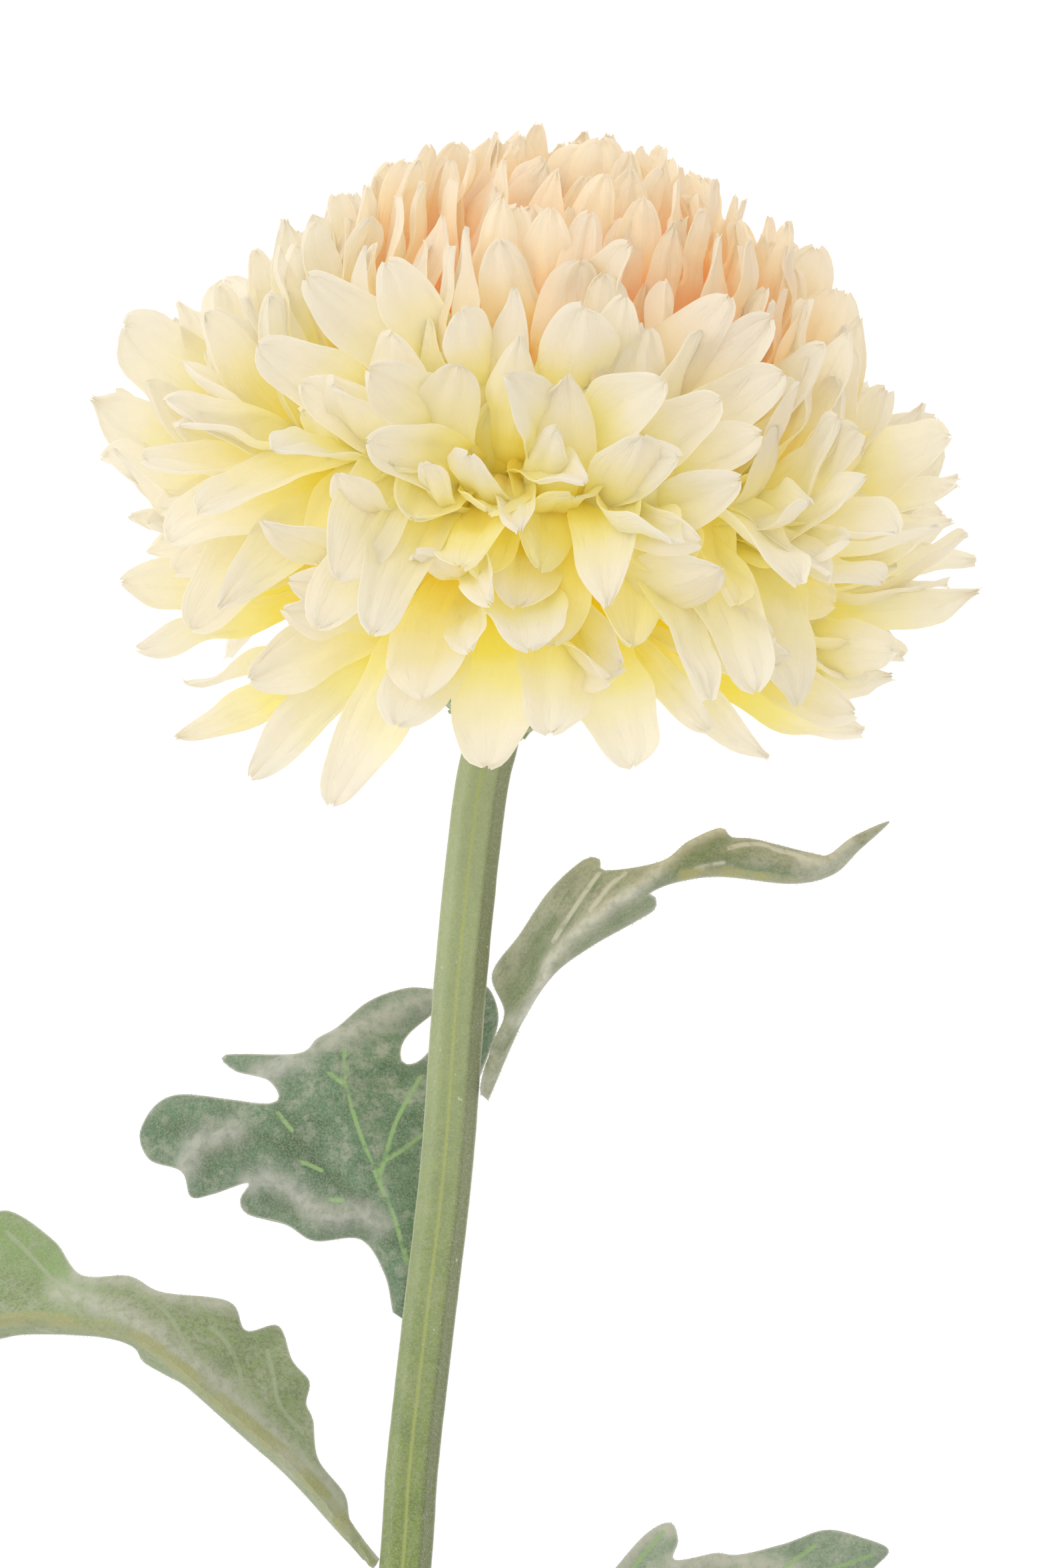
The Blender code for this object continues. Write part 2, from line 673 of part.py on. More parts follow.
def main():
    clear_scene()
    make_stem()
    make_calyx()
    for name, leaf in (("leaf_a", LEAF_A), ("leaf_b", LEAF_B), ("leaf_c", LEAF_C), ("leaf_d", LEAF_D)):
        make_leaf(name, leaf)
    places = petal_places()
    crown = [place for place in places if place[0] > SPLIT_LATITUDE]
    skirt = [place for place in places if place[0] < SPLIT_LATITUDE]
    make_bloom("bloom_crown", crown_core(), crown, CROWN_PEACH)
    make_bloom("bloom_skirt", skirt_core(), skirt, SKIRT_CREAM)


main()
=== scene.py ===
"""Pompon chrysanthemum, one cut flower: petals, stem, leaves, floor, light and camera."""

import math
import random

import bpy
import numpy as np
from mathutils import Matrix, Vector, noise
from mathutils.geometry import delaunay_2d_cdt


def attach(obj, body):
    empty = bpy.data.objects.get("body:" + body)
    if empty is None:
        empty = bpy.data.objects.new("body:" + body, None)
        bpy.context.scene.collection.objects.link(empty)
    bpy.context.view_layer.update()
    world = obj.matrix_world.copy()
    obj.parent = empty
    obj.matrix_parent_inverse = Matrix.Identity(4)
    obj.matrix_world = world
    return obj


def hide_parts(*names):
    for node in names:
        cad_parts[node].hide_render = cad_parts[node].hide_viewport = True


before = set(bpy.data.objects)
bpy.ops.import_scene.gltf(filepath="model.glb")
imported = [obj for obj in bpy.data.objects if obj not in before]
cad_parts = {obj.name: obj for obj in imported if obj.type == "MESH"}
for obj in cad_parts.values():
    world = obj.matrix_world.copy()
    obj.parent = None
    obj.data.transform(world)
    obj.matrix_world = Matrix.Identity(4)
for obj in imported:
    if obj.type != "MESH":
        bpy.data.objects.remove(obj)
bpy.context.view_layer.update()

MM = 0.001

# The bloom's own axes, as in the frame: its heart, its crown's direction, its front and its right
HEART = np.array((0.0, 0.0, 66.0)) * MM
BLOOM_PITCH = math.radians(15)
BLOOM_LEAN = math.radians(10)
AXIS = np.array((
    math.sin(BLOOM_LEAN) * math.cos(BLOOM_PITCH),
    math.cos(BLOOM_LEAN) * math.cos(BLOOM_PITCH),
    math.sin(BLOOM_PITCH),
))
FRONT = np.array((0.0, 0.0, 1.0)) - AXIS * AXIS[2]
FRONT /= np.linalg.norm(FRONT)
RIGHT = np.cross(AXIS, FRONT)

# The bloom's outline: how far petal tips stand from the heart
DOME_REACH = 63.0 * MM
BRIM_REACH = 74.5 * MM
BRIM_LATITUDE = math.radians(10)
DOME_LATITUDE = math.radians(30)
HEART_REACH = 26.0 * MM

# Petals stand on a golden-angle spiral; a cell is the room that one petal has, in steradians
GOLDEN_ANGLE = math.pi * (3 - math.sqrt(5))
SPIRAL_START = math.radians(320)
CELLS = ((-0.66, 0.0310), (0.10, 0.0300), (0.45, 0.0250), (0.72, 0.0158), (1.0, 0.0098))
UNDER_PETAL_SHARE = 0.74
PETAL_SEED = 5

# How far a petal's root lies below its tip, in degrees, at tip latitudes from the rim to the crown
LEANS = ((-45, -30), (-15, -30), (2, -22), (12, 0), (24, 26), (45, 30), (62, 22), (90, 3))
LEANS_ASIDE = ((-45, -16), (-28, -6), (-12, 8), (8, 18), (30, 24), (62, 20), (90, 3))

PETAL_ROWS = 24
PETAL_COLUMNS = 8
PETAL_SHEET = 0.26 * MM

# How far a petal's colour moves towards its deep root colour, as a share of its length, where it lies deep in
# the bloom: painted warm shade
SUNK_SHADE_SHIFT = 0.4
SUNK_SHADE_SHIFT_PEACH = 0.35
SUNK_SHADE_SHIFT_HOLLOW = 0.95

# The hollow at the front where the petals part and their yellow shows, with the painted warm shade strongest
# there, and how wide it is
HOLLOW = np.array((1.0, -3.0, 120.0)) * MM
HOLLOW_WIDTH = 19 * MM

# How much paler the low petals at the sides are
PALER_ASIDE = 0.09

# How much shorter the low petals at the sides are
LOW_SIDE_SHARE = 0.13


def mix(a, b, share):
    return a + (b - a) * share


def smooth_step(value, low, high):
    share = np.clip((value - low) / (high - low), 0, 1)
    return share * share * (3 - 2 * share)


def unit(vectors):
    return vectors / np.linalg.norm(vectors, axis=-1, keepdims=True)


def table_value(table, place):
    """The value at a place in a table of places and values, which runs straight between them."""
    return float(np.interp(place, [row[0] for row in table], [row[1] for row in table]))


def level_way(longitude):
    return FRONT * math.cos(longitude) + RIGHT * math.sin(longitude)


def outward(latitude, longitude):
    return AXIS * math.sin(latitude) + level_way(longitude) * math.cos(latitude)


def crownward(latitude, longitude):
    return AXIS * math.cos(latitude) - level_way(longitude) * math.sin(latitude)


def reach(latitude):
    return mix(BRIM_REACH, DOME_REACH, smooth_step(latitude, BRIM_LATITUDE, DOME_LATITUDE))


def rim_latitude(longitude):
    """The long petals hang lowest on the left and at the back, and short ones lie under them."""
    return math.radians(-31 + 3 * math.cos(longitude) + 9 * math.sin(longitude))


def smooth_line(points, step):
    """Spots at about one step along a smooth curve through the points."""
    points = np.asarray(points, dtype=float)
    run = np.concatenate(([2 * points[0] - points[1]], points, [2 * points[-1] - points[-2]]))
    spots = []
    for before, start, end, after in zip(run, run[1:], run[2:], run[3:]):
        count = max(int(np.linalg.norm(end - start) / step), 1)
        for share in np.arange(count) / count:
            spots.append(0.5 * (2 * start + (end - before) * share
                                + (2 * before - 5 * start + 4 * end - after) * share ** 2
                                + (3 * start - before - 3 * end + after) * share ** 3))
    spots.append(points[-1])
    return np.array(spots)


# Materials


def new_material(name):
    made = bpy.data.materials.new(name)
    made.use_nodes = True
    made.node_tree.nodes.clear()
    return made


class Nodes:
    """A short way to write the nodes of a material or of the world."""

    def __init__(self, owner):
        self.owner = owner
        self.tree = owner.node_tree

    def add(self, kind, **settings):
        node = self.tree.nodes.new(kind)
        for name, value in settings.items():
            setattr(node, name, value)
        return node

    def fill(self, node, values):
        """Sets a node's sockets to values, or joins other nodes' outputs to them."""
        for name, value in values.items():
            if isinstance(value, bpy.types.NodeSocket):
                self.tree.links.new(value, node.inputs[name])
            else:
                node.inputs[name].default_value = value
        return node.outputs

    def math(self, operation, first, second, clamp=False):
        node = self.add("ShaderNodeMath", operation=operation, use_clamp=clamp)
        return self.fill(node, {0: first, 1: second})[0]

    def vectors(self, operation, first, second):
        node = self.add("ShaderNodeVectorMath", operation=operation)
        return self.fill(node, {0: first, 1: second})

    def colours(self, share, first, second):
        node = self.add("ShaderNodeMix", data_type="RGBA")
        return self.fill(node, {0: share, 6: first, 7: second})[2]

    def over(self, colour, share, amount, new):
        """The colour, with an amount of a new one over it as far as the share says."""
        return self.colours(self.math("MULTIPLY", share, amount), colour, (*new, 1))

    def ramp(self, value, stops):
        """A colour that runs through the stops, each a position and a colour."""
        node = self.add("ShaderNodeValToRGB")
        ramp = node.color_ramp
        ramp.interpolation = "EASE"
        while len(ramp.elements) < len(stops):
            ramp.elements.new(1.0)
        for element, (position, colour) in zip(ramp.elements, stops):
            element.position = position
            element.color = (*colour, 1)
        return self.fill(node, {0: value})[0]

    def fade(self, value, start, end, first=0, last=1):
        """A grey that runs from its first to its last shade as the value goes from start to end."""
        return self.ramp(value, [(start, (first,) * 3), (end, (last,) * 3)])

    def attribute(self, name):
        return self.add("ShaderNodeAttribute", attribute_name=name).outputs["Fac"]

    def coordinate(self, name):
        return self.add("ShaderNodeTexCoord").outputs[name]

    def part(self, vector, axis):
        return self.fill(self.add("ShaderNodeSeparateXYZ"), {0: vector})[axis]

    def noise(self, scale, detail, place, roughness=0.5):
        values = {"Scale": scale, "Detail": detail, "Vector": place, "Roughness": roughness}
        return self.fill(self.add("ShaderNodeTexNoise"), values)["Fac"]

    def bump(self, height, distance, strength, under=None):
        """A bump of the given height, over another one where there is one."""
        values = {"Height": height, "Distance": distance, "Strength": strength}
        if under:
            values["Normal"] = under
        return self.fill(self.add("ShaderNodeBump"), values)[0]

    def shader(self, kind, values):
        return self.fill(self.add("ShaderNodeBsdf" + kind), values)[0]

    def lit_through(self, surface, share, values):
        """The surface, of which a share lets light through."""
        behind = self.shader("Translucent", values)
        return self.fill(self.add("ShaderNodeMixShader"), {0: share, 1: surface, 2: behind})[0]

    def finish(self, surface):
        """The material, with the surface joined to its output."""
        self.fill(self.add("ShaderNodeOutputMaterial"), {"Surface": surface})
        return self.owner


# How the creases' pattern is stretched across and along a petal
CREASE_STRETCH = (0.26, 0.045, 1.0)


def petal_material():
    """Thin woven fabric, deep yellow or orange at the root, pale at the tip, which lets light through; deep
    in the bloom its colour moves towards the root's as painted warm shade.
    """
    n = Nodes(new_material("petal_fabric"))
    place = n.coordinate("Object")
    drift = n.math("MULTIPLY", n.math("SUBTRACT", n.noise(90, 2, place), 0.5), 0.20)
    # The along attribute also carries painted warm shade: it is moved towards the root's colour where a petal
    # lies deep in the bloom
    reached = n.math("ADD", n.attribute("along"), drift)
    cream = n.ramp(reached, [
        (0.06, (0.99, 0.79, 0.05)), (0.32, (0.99, 0.87, 0.17)), (0.54, (0.985, 0.905, 0.38)),
        (0.74, (0.98, 0.912, 0.61)), (0.88, (0.97, 0.905, 0.72)), (1.0, (0.96, 0.90, 0.75)),
    ])
    warm = n.ramp(reached, [
        (0.22, (0.99, 0.42, 0.10)), (0.46, (0.99, 0.60, 0.26)), (0.66, (0.99, 0.76, 0.44)),
        (0.82, (0.99, 0.845, 0.58)), (0.93, (0.985, 0.875, 0.66)), (1.0, (0.98, 0.885, 0.70)),
    ])
    colour = n.colours(n.attribute("peach"), cream, warm)
    lightness = n.math("ADD", n.math("MULTIPLY", n.attribute("tone"), 0.03), 0.99)
    colour = n.fill(n.add("ShaderNodeHueSaturation"), {"Value": lightness, "Color": colour})[0]
    cloth = n.add("ShaderNodeUVMap", uv_map="cloth").outputs[0]
    weave = n.add("ShaderNodeTexVoronoi", distance="CHEBYCHEV")
    threads = n.fill(weave, {"Vector": cloth, "Scale": 1.0, "Randomness": 0.15})["Distance"]
    creases = n.noise(1.0, 2, n.vectors("MULTIPLY", cloth, CREASE_STRETCH)[0])
    bumped = n.bump(n.noise(230, 4, place), 0.0010, 0.40)
    bumped = n.bump(creases, 0.0012, 0.40, bumped)
    bumped = n.bump(threads, 0.00008, 0.5, bumped)
    fabric = n.shader("Principled", {
        "Base Color": colour, "Roughness": 0.72, "Specular IOR Level": 0.25,
        "Sheen Weight": 0.12, "Sheen Roughness": 0.5, "Normal": bumped,
    })
    return n.finish(n.lit_through(fabric, 0.64, {"Color": colour, "Normal": bumped}))


# Colour of the pale pile: real in the grain and blotches, painted sheen where it lines the stem's edge and a
# leaf's crests
PALE_PILE_AND_SHEEN = (0.335, 0.330, 0.240)


def flock(n, colour, place, height, sheen):
    """A short pale pile over a colour: grain, and a bright edge where it's seen aslant."""
    grain = n.noise(2600, 2, place)
    colour = n.over(colour, n.fade(grain, 0.38, 0.72), 0.22, PALE_PILE_AND_SHEEN)
    pile = n.bump(grain, 0.0003, 0.6)
    return n.shader("Principled", {
        "Base Color": colour, "Roughness": 0.92, "Specular IOR Level": 0.12, "Sheen Weight": sheen,
        "Sheen Roughness": 0.42, "Sheen Tint": (0.86, 0.82, 0.72, 1),
        "Normal": n.bump(height, 0.0006, 0.5, pile),
    })


# The widest distance from a line that its mask tells apart, in millimetres
MASK_SPAN = 10.0


def line_mask(n, name, inner, outer):
    """1 on a line and 0 away from it, from an attribute with the distance in millimetres."""
    distance = n.math("DIVIDE", n.attribute(name), MASK_SPAN)
    return n.fade(distance, inner / MASK_SPAN, outer / MASK_SPAN, 1, 0)


RIM_COLOUR = (0.40, 0.39, 0.32)


def leaf_material(name, face, back, vein, rib, crest, shade):
    """A flocked leaf: its two faces' colours, then those of its lines, a painted highlight on its crests and
    rim, and painted shade in its hollows.
    """
    n = Nodes(new_material(name))
    place = n.coordinate("Object")
    blotch = n.noise(170, 4, place, 0.6)
    fine = n.noise(520, 3, place, 0.6)
    sides = []
    for side, darkened in ((face, 0.72), (back, 0.82)):
        dark = [channel * darkened for channel in side]
        pale = [mix(channel, frosted, 0.35) for channel, frosted in zip(side, PALE_PILE_AND_SHEEN)]
        sides.append(n.ramp(blotch, [(0.34, dark), (0.50, side), (0.68, pale)]))
    colour = n.colours(n.attribute("under"), *sides)
    mottle = n.fade(n.noise(1250, 3, place, 0.65), 0.38, 0.56, 1, 0)
    colour = n.over(colour, mottle, 0.54, [channel * 0.5 for channel in face])
    patches = n.noise(310, 3, place, 0.6)
    colour = n.over(colour, n.fade(patches, 0.55, 0.68), 0.50, shade)
    colour = n.over(colour, n.fade(patches, 0.34, 0.46, 1, 0), 0.22, PALE_PILE_AND_SHEEN)
    # Painted shade: the hollow colour in the leaf's hollows and folds; on leaf C this mask lays a fresh green
    # patch
    grown = n.math("MULTIPLY", n.attribute("hollow_shade_and_green_patch"), n.fade(fine, 0.30, 0.62, 0.6))
    colour = n.over(colour, grown, 0.9, shade)
    # Painted highlight: the crest colour along the crests and faintly along the rim, where light catches the
    # raised pile
    crest_and_rim_highlight = n.math("MULTIPLY", n.attribute("crest_and_rim_highlight"), n.fade(fine, 0.30, 0.62, 0.45))
    colour = n.over(colour, crest_and_rim_highlight, 0.85, crest)
    vein_line = n.math("MULTIPLY", line_mask(n, "vein", 0.16, 0.60), n.fade(fine, 0.30, 0.52, 0.35))
    colour = n.over(colour, vein_line, 0.9, vein)
    colour = n.over(colour, line_mask(n, "rib", 0.9, 1.6), n.fade(blotch, 0.36, 0.6, 0.3), rib)
    colour = n.over(colour, line_mask(n, "rim", 0.08, 0.40), 0.55, RIM_COLOUR)
    height = n.math("ADD", blotch, n.math("MULTIPLY", fine, 0.4))
    surface = flock(n, colour, place, height, 0.06)
    return n.finish(n.lit_through(surface, 0.06, {"Color": colour}))


# The small red-brown mark, and how far from its middle it fades, in centimetres
RED_MARK = tuple(value * MM for value in (-20.9, -131.8, 41.0))
MARK_FADE = (0.04, 0.09)

# How far below the bloom's heart the stem starts to grow paler, and over what length
PALER_BELOW = 190 * MM
PALER_RUN = 150 * MM


def stem_material():
    """Flocked green, paler towards the bloom, with painted shade along its right flank and a painted sheen
    line on that side, thin yellow lines, flecks and a mark.
    """
    n = Nodes(new_material("stem_flock"))
    place = n.coordinate("Object")
    blotch = n.noise(150, 4, place, 0.6)
    colour = n.ramp(blotch, [
        (0.30, (0.068, 0.112, 0.012)), (0.52, (0.101, 0.152, 0.020)), (0.72, (0.132, 0.170, 0.038)),
    ])
    mottle = n.fade(n.noise(1100, 3, place, 0.65), 0.38, 0.56, 1, 0)
    colour = n.over(colour, mottle, 0.50, (0.052, 0.088, 0.010))
    upward = n.math("DIVIDE", n.math("ADD", n.part(place, "Y"), PALER_BELOW), PALER_RUN, True)
    colour = n.over(colour, upward, 0.42, (0.34, 0.38, 0.19))
    # Painted shade: a darker band along the stem's right flank, where less light falls
    colour = n.over(colour, n.attribute("painted_shade_flank"), 0.66, (0.048, 0.056, 0.014))
    colour = n.over(colour, line_mask(n, "streak", 0.08, 0.50), 0.8, (0.23, 0.27, 0.045))
    # Painted sheen: pale pile colour along the stem's right side, where it is seen edge-on from above
    colour = n.over(colour, line_mask(n, "edge", 0.20, 0.95), 0.45, PALE_PILE_AND_SHEEN)
    colour = n.over(colour, n.fade(n.noise(900, 1, place), 0.76, 0.80), 0.6, (0.52, 0.52, 0.42))
    away = n.math("MULTIPLY", n.vectors("DISTANCE", place, RED_MARK)["Value"], 100.0)
    colour = n.over(colour, n.fade(away, *MARK_FADE, 1, 0), 0.85, (0.26, 0.08, 0.03))
    return n.finish(flock(n, colour, place, blotch, 0.16))


# Meshes

SHARP_ANGLE = math.radians(58)


def new_object(name, data):
    made = bpy.data.objects.new(name, data)
    bpy.context.scene.collection.objects.link(made)
    return made


def mesh_object(name, points, faces, material, attributes=None, cloth=None):
    """A smooth piece from points and faces, with numbers for its material at each point."""
    mesh = bpy.data.meshes.new(name)
    mesh.from_pydata([tuple(point) for point in points], [], faces)
    for key, values in (attributes or {}).items():
        layer = mesh.attributes.new(key, "FLOAT", "POINT")
        layer.data.foreach_set("value", np.asarray(values, dtype=np.float32))
    if cloth is not None:
        corners = np.empty(len(mesh.loops), dtype=np.int32)
        mesh.loops.foreach_get("vertex_index", corners)
        layer = mesh.uv_layers.new(name="cloth")
        layer.data.foreach_set("uv", np.asarray(cloth, dtype=np.float32)[corners].ravel())
    mesh.materials.append(material)
    mesh.shade_smooth()
    mesh.set_sharp_from_angle(angle=SHARP_ANGLE)
    return new_object(name, mesh)


def place_piece(made, node):
    """The piece takes its node's place in the frame and moves with it."""
    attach(made, "root")
    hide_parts(node)


def sheet_faces(rows, columns):
    """Faces of a closed sheet: a top grid, the same grid below it, and a rim."""
    count = (rows + 1) * (columns + 1)

    def at(row, column, below=0):
        return row * (columns + 1) + column + below * count

    def rim(start, end):
        return at(*start), at(*end), at(*end, 1), at(*start, 1)

    faces = []
    for row in range(rows):
        for column in range(columns):
            faces.append((at(row, column), at(row, column + 1),
                          at(row + 1, column + 1), at(row + 1, column)))
            faces.append((at(row, column, 1), at(row + 1, column, 1),
                          at(row + 1, column + 1, 1), at(row, column + 1, 1)))
    for row in range(rows):
        faces += [rim((row, 0), (row + 1, 0)), rim((row + 1, columns), (row, columns))]
    for column in range(columns):
        faces += [rim((0, column + 1), (0, column)), rim((rows, column), (rows, column + 1))]
    return faces


def ring_faces(rows, columns, order=(0, 1, 2, 3)):
    """Faces between closed rings of points that follow each other, with their corners in an order."""
    faces = []
    for row in range(rows):
        for column in range(columns):
            following = (column + 1) % columns
            corners = (row * columns + column, row * columns + following,
                       (row + 1) * columns + following, (row + 1) * columns + column)
            faces.append(tuple(corners[number] for number in order))
    return faces


def grid_normals(grid):
    """Directions square to a grid of points."""
    down = np.gradient(grid, axis=0)
    across = np.gradient(grid, axis=1)
    return unit(np.cross(across, down) + 1e-12)


# Petals

# A petal's middle line: where it bends, how that changes, and how its rows crowd
BEND_PLACE = 0.50
BEND_CHANGE = 0.06
BEND_ASIDE = 0.10
ROW_CROWDING = 1.35

# A petal's outline: where it's widest, its width at the root, and how its tip closes
WIDEST = 0.68
WIDEST_CHANGE = 0.07
ROOT_WIDTH = 0.34
WIDENS_FROM = 0.08
LEAST_HALF = 0.6 * MM
TIP_CLOSING = 2.1
TIP_ROUND = 0.45
TIP_POINTED = 0.40
TIP_CHANGE = 0.06

# A petal's twist, and its fold in degrees when it's closed and when it's open
TWIST = 0.5
TWIST_CENTRE = 0.6
FOLD_CLOSED = 42
FOLD_OPEN = 30
FOLD_CHANGE = 0.50
FOLD_EASING = 0.30
FOLDS_OVER = (0.0, 0.45)
FOLD_EASES_OVER = (0.75, 1.0)
LEAST_FOLD = 0.02

# How a petal is uneven: its ragged outline, its sway and its waves, and the shares of its length
# over which they set in
PHASES = 9
RAGGED = 0.06
RAGGED_RUN = 23
RAGGED_OVER = (0.35, 0.6)
SWAY = 0.10
SWAY_RUN = 9
EDGE_WAVE = 0.62 * MM
EDGE_WAVE_RUN = 17
EDGE_WAVE_NARROWNESS = 2.5
CROSS_WAVE = 0.40 * MM
CROSS_WAVE_RUN = 7.0
WAVES_OVER = (0.35, 0.8)

# A petal's curled and notched tip, and its crumples, in millimetres
TIP_CURL = 0.8
TIP_CURL_CHANGE = 2.4
CURLS_OVER = (0.74, 1.0)
NOTCHES = 0.35
NOTCHES_RUN = 9
TIP_NOTCH = 0.8
NOTCHED_OVER = (0.78, 1.0)
CRUMPLE = 1.6
CRUMPLE_SCALE = 130

# A petal's sheet is thinner at its rim; then one thread of its weave, and how it lies on the table
RIM_THINNESS = 0.45
THREAD = 0.32 * MM
PRESSED_SOFTLY = 1.2 * MM


def petal_draws(draw):
    """One petal's own chance variations."""
    keys = ("far", "wide", "bend", "roll", "twist", "side", "sharp", "fold", "tip", "crumple", "tone",
            "latitude", "longitude")
    return {key: draw.uniform(-1, 1) for key in keys}


def petal_line(root, root_way, tip, side_way, look):
    """Points of a petal's middle line, which leaves its root outwards and bends over to its tip."""
    length = np.linalg.norm(tip - root)
    control = root + root_way * length * (BEND_PLACE + BEND_CHANGE * look["bend"])
    control = control + side_way * length * BEND_ASIDE * look["side"]
    steps = np.linspace(0, 1, PETAL_ROWS + 1)
    share = 1 - (1 - steps) ** ROW_CROWDING
    s = share[:, None]
    return share, root * (1 - s) ** 2 + control * 2 * s * (1 - s) + tip * s ** 2


def petal_grid(share, middle, across_way, width, roll, look):
    """Points of a petal's middle surface, rows from root to tip and columns from left to right."""
    way = unit(np.gradient(middle, axis=0))
    across = unit(across_way - way * (way @ across_way)[:, None])
    up = np.cross(across, way)
    turn = (roll + look["twist"] * TWIST * (share - TWIST_CENTRE))[:, None]
    across, up = across * np.cos(turn) + up * np.sin(turn), up * np.cos(turn) - across * np.sin(turn)

    sharp = TIP_ROUND + TIP_POINTED * max(look["sharp"], 0) ** 2 + TIP_CHANGE * look["sharp"]
    widest = WIDEST + WIDEST_CHANGE * look["wide"]
    grown = mix(ROOT_WIDTH, 1.0, smooth_step(share, WIDENS_FROM, widest))
    closing = np.clip((share - widest) / (1 - widest), 0, 1)
    outline = grown * np.clip(1 - closing ** TIP_CLOSING, 0, 1) ** sharp
    phase = look["crumple"] * PHASES
    ragged = RAGGED * np.sin(share * RAGGED_RUN + phase) * smooth_step(share, *RAGGED_OVER)
    outline = outline * (1 + ragged)
    half = np.maximum(width / 2 * outline, LEAST_HALF)

    fold = math.radians(mix(FOLD_CLOSED, FOLD_OPEN, look["open"])) * (1 + FOLD_CHANGE * look["fold"])
    fold = fold * smooth_step(share, *FOLDS_OVER)
    fold = np.maximum(fold * (1 - FOLD_EASING * smooth_step(share, *FOLD_EASES_OVER)), LEAST_FOLD)
    u = np.linspace(-1, 1, PETAL_COLUMNS + 1)[None, :]
    angle = u * fold[:, None]
    radius = (half / fold)[:, None]
    sideways = radius * np.sin(angle) * (1 + SWAY * np.sin(share * SWAY_RUN + phase * 2)[:, None] * u)
    rise = radius * (1 - np.cos(angle))

    wave = np.sin(share[:, None] * EDGE_WAVE_RUN + phase + u * 1.5)
    strength = smooth_step(share, *WAVES_OVER)[:, None]
    rise = rise + EDGE_WAVE * wave * np.abs(u) ** EDGE_WAVE_NARROWNESS * strength * (1 + look["tip"])
    rise = rise + CROSS_WAVE * np.cos(u * CROSS_WAVE_RUN + phase + share[:, None] * 3) * strength
    curl = TIP_CURL + TIP_CURL_CHANGE * look["tip"]
    rise = rise + smooth_step(share, *CURLS_OVER)[:, None] * curl * MM
    grid = middle[:, None, :] + across[:, None, :] * sideways[..., None] + up[:, None, :] * rise[..., None]
    jagged = NOTCHES * np.sin(u * NOTCHES_RUN + phase * 3) - TIP_NOTCH * (1 - u * u) * (1 - sharp)
    jagged = jagged * MM * smooth_step(share, *NOTCHED_OVER)[:, None]
    grid = grid + way[:, None, :] * jagged[..., None]
    shift = Vector((phase, 0, 0))
    rough = np.array([[noise.noise(Vector(point) * CRUMPLE_SCALE + shift) for point in row] for row in grid])
    return grid + up[:, None, :] * (rough * CRUMPLE * MM * strength)[..., None]


def above_table(grid, clearance):
    """Presses what would hang below the table's surface flat against it."""
    height = (grid[..., 2] - clearance) / PRESSED_SOFTLY
    pressed = np.where(height > 20, height, np.log1p(np.exp(np.minimum(height, 20))))
    grid[..., 2] = clearance + PRESSED_SOFTLY * pressed
    return grid


class Bloom:
    """Gathers petals into one mesh."""

    def __init__(self):
        self.points = []
        self.faces = []
        self.count = 0
        self.attributes = {"along": [], "peach": [], "tone": []}
        self.cloth = []
        self.pattern = np.array(sheet_faces(PETAL_ROWS, PETAL_COLUMNS))

    def add(self, grid, share, deep, peach, tone, width):
        normal = grid_normals(grid)
        off = grid - HEART
        far = np.linalg.norm(off, axis=-1)
        # Painted warm shade: deep in the bloom, and most of all in the front hollow, the colour is moved
        # towards the deep root colour
        sunk = np.clip(1 - far / reach(np.arcsin(off @ AXIS / far)), 0, 1)
        front_hollow_shade = np.exp(-np.square(np.linalg.norm(grid - HOLLOW, axis=-1) / HOLLOW_WIDTH))
        shift = (SUNK_SHADE_SHIFT + SUNK_SHADE_SHIFT_PEACH * peach + SUNK_SHADE_SHIFT_HOLLOW * front_hollow_shade) * sunk
        rim = np.ones(grid.shape[:2])
        rim[:, 0] = rim[:, -1] = rim[-1, :] = RIM_THINNESS
        half = (PETAL_SHEET / 2 * rim)[..., None]
        top = (grid + normal * half).reshape(-1, 3)
        bottom = (grid - normal * half).reshape(-1, 3)
        self.points.append(np.concatenate((top, bottom)))
        self.faces.extend((self.pattern + self.count).tolist())
        self.count += len(top) * 2
        columns = grid.shape[1]
        along = np.repeat(share, columns)
        self.attributes["along"].append(np.tile(along * deep - shift.ravel(), 2))
        self.attributes["peach"].append(np.full(len(along) * 2, peach))
        self.attributes["tone"].append(np.full(len(along) * 2, tone))
        length = np.linalg.norm(grid[-1, columns // 2] - grid[0, columns // 2])
        across = np.tile(np.linspace(-0.5, 0.5, columns) * width, len(share))
        self.cloth.append(np.tile(np.stack((across, along * length), axis=1) / THREAD, (2, 1)))

    def build(self, name, material):
        attributes = {key: np.concatenate(values) for key, values in self.attributes.items()}
        return mesh_object(name, np.concatenate(self.points), self.faces, material, attributes,
                           np.concatenate(self.cloth))


def petal_places():
    """Latitude and longitude of each petal's tip, from the crown's top down."""
    places = []
    height = 1 - CELLS[-1][1] / (4 * math.pi)
    while height > CELLS[0][0]:
        places.append((math.asin(height), (SPIRAL_START + len(places) * GOLDEN_ANGLE) % (2 * math.pi)))
        height -= table_value(CELLS, height) / (2 * math.pi)
    return places


def peach_share(latitude, longitude):
    """The crown is peach; the boundary lies higher at the front and the left than elsewhere."""
    boundary = math.radians(48 + 4 * math.cos(longitude) - 4 * math.sin(longitude))
    return float(smooth_step(latitude, boundary - math.radians(13), boundary + math.radians(11)))


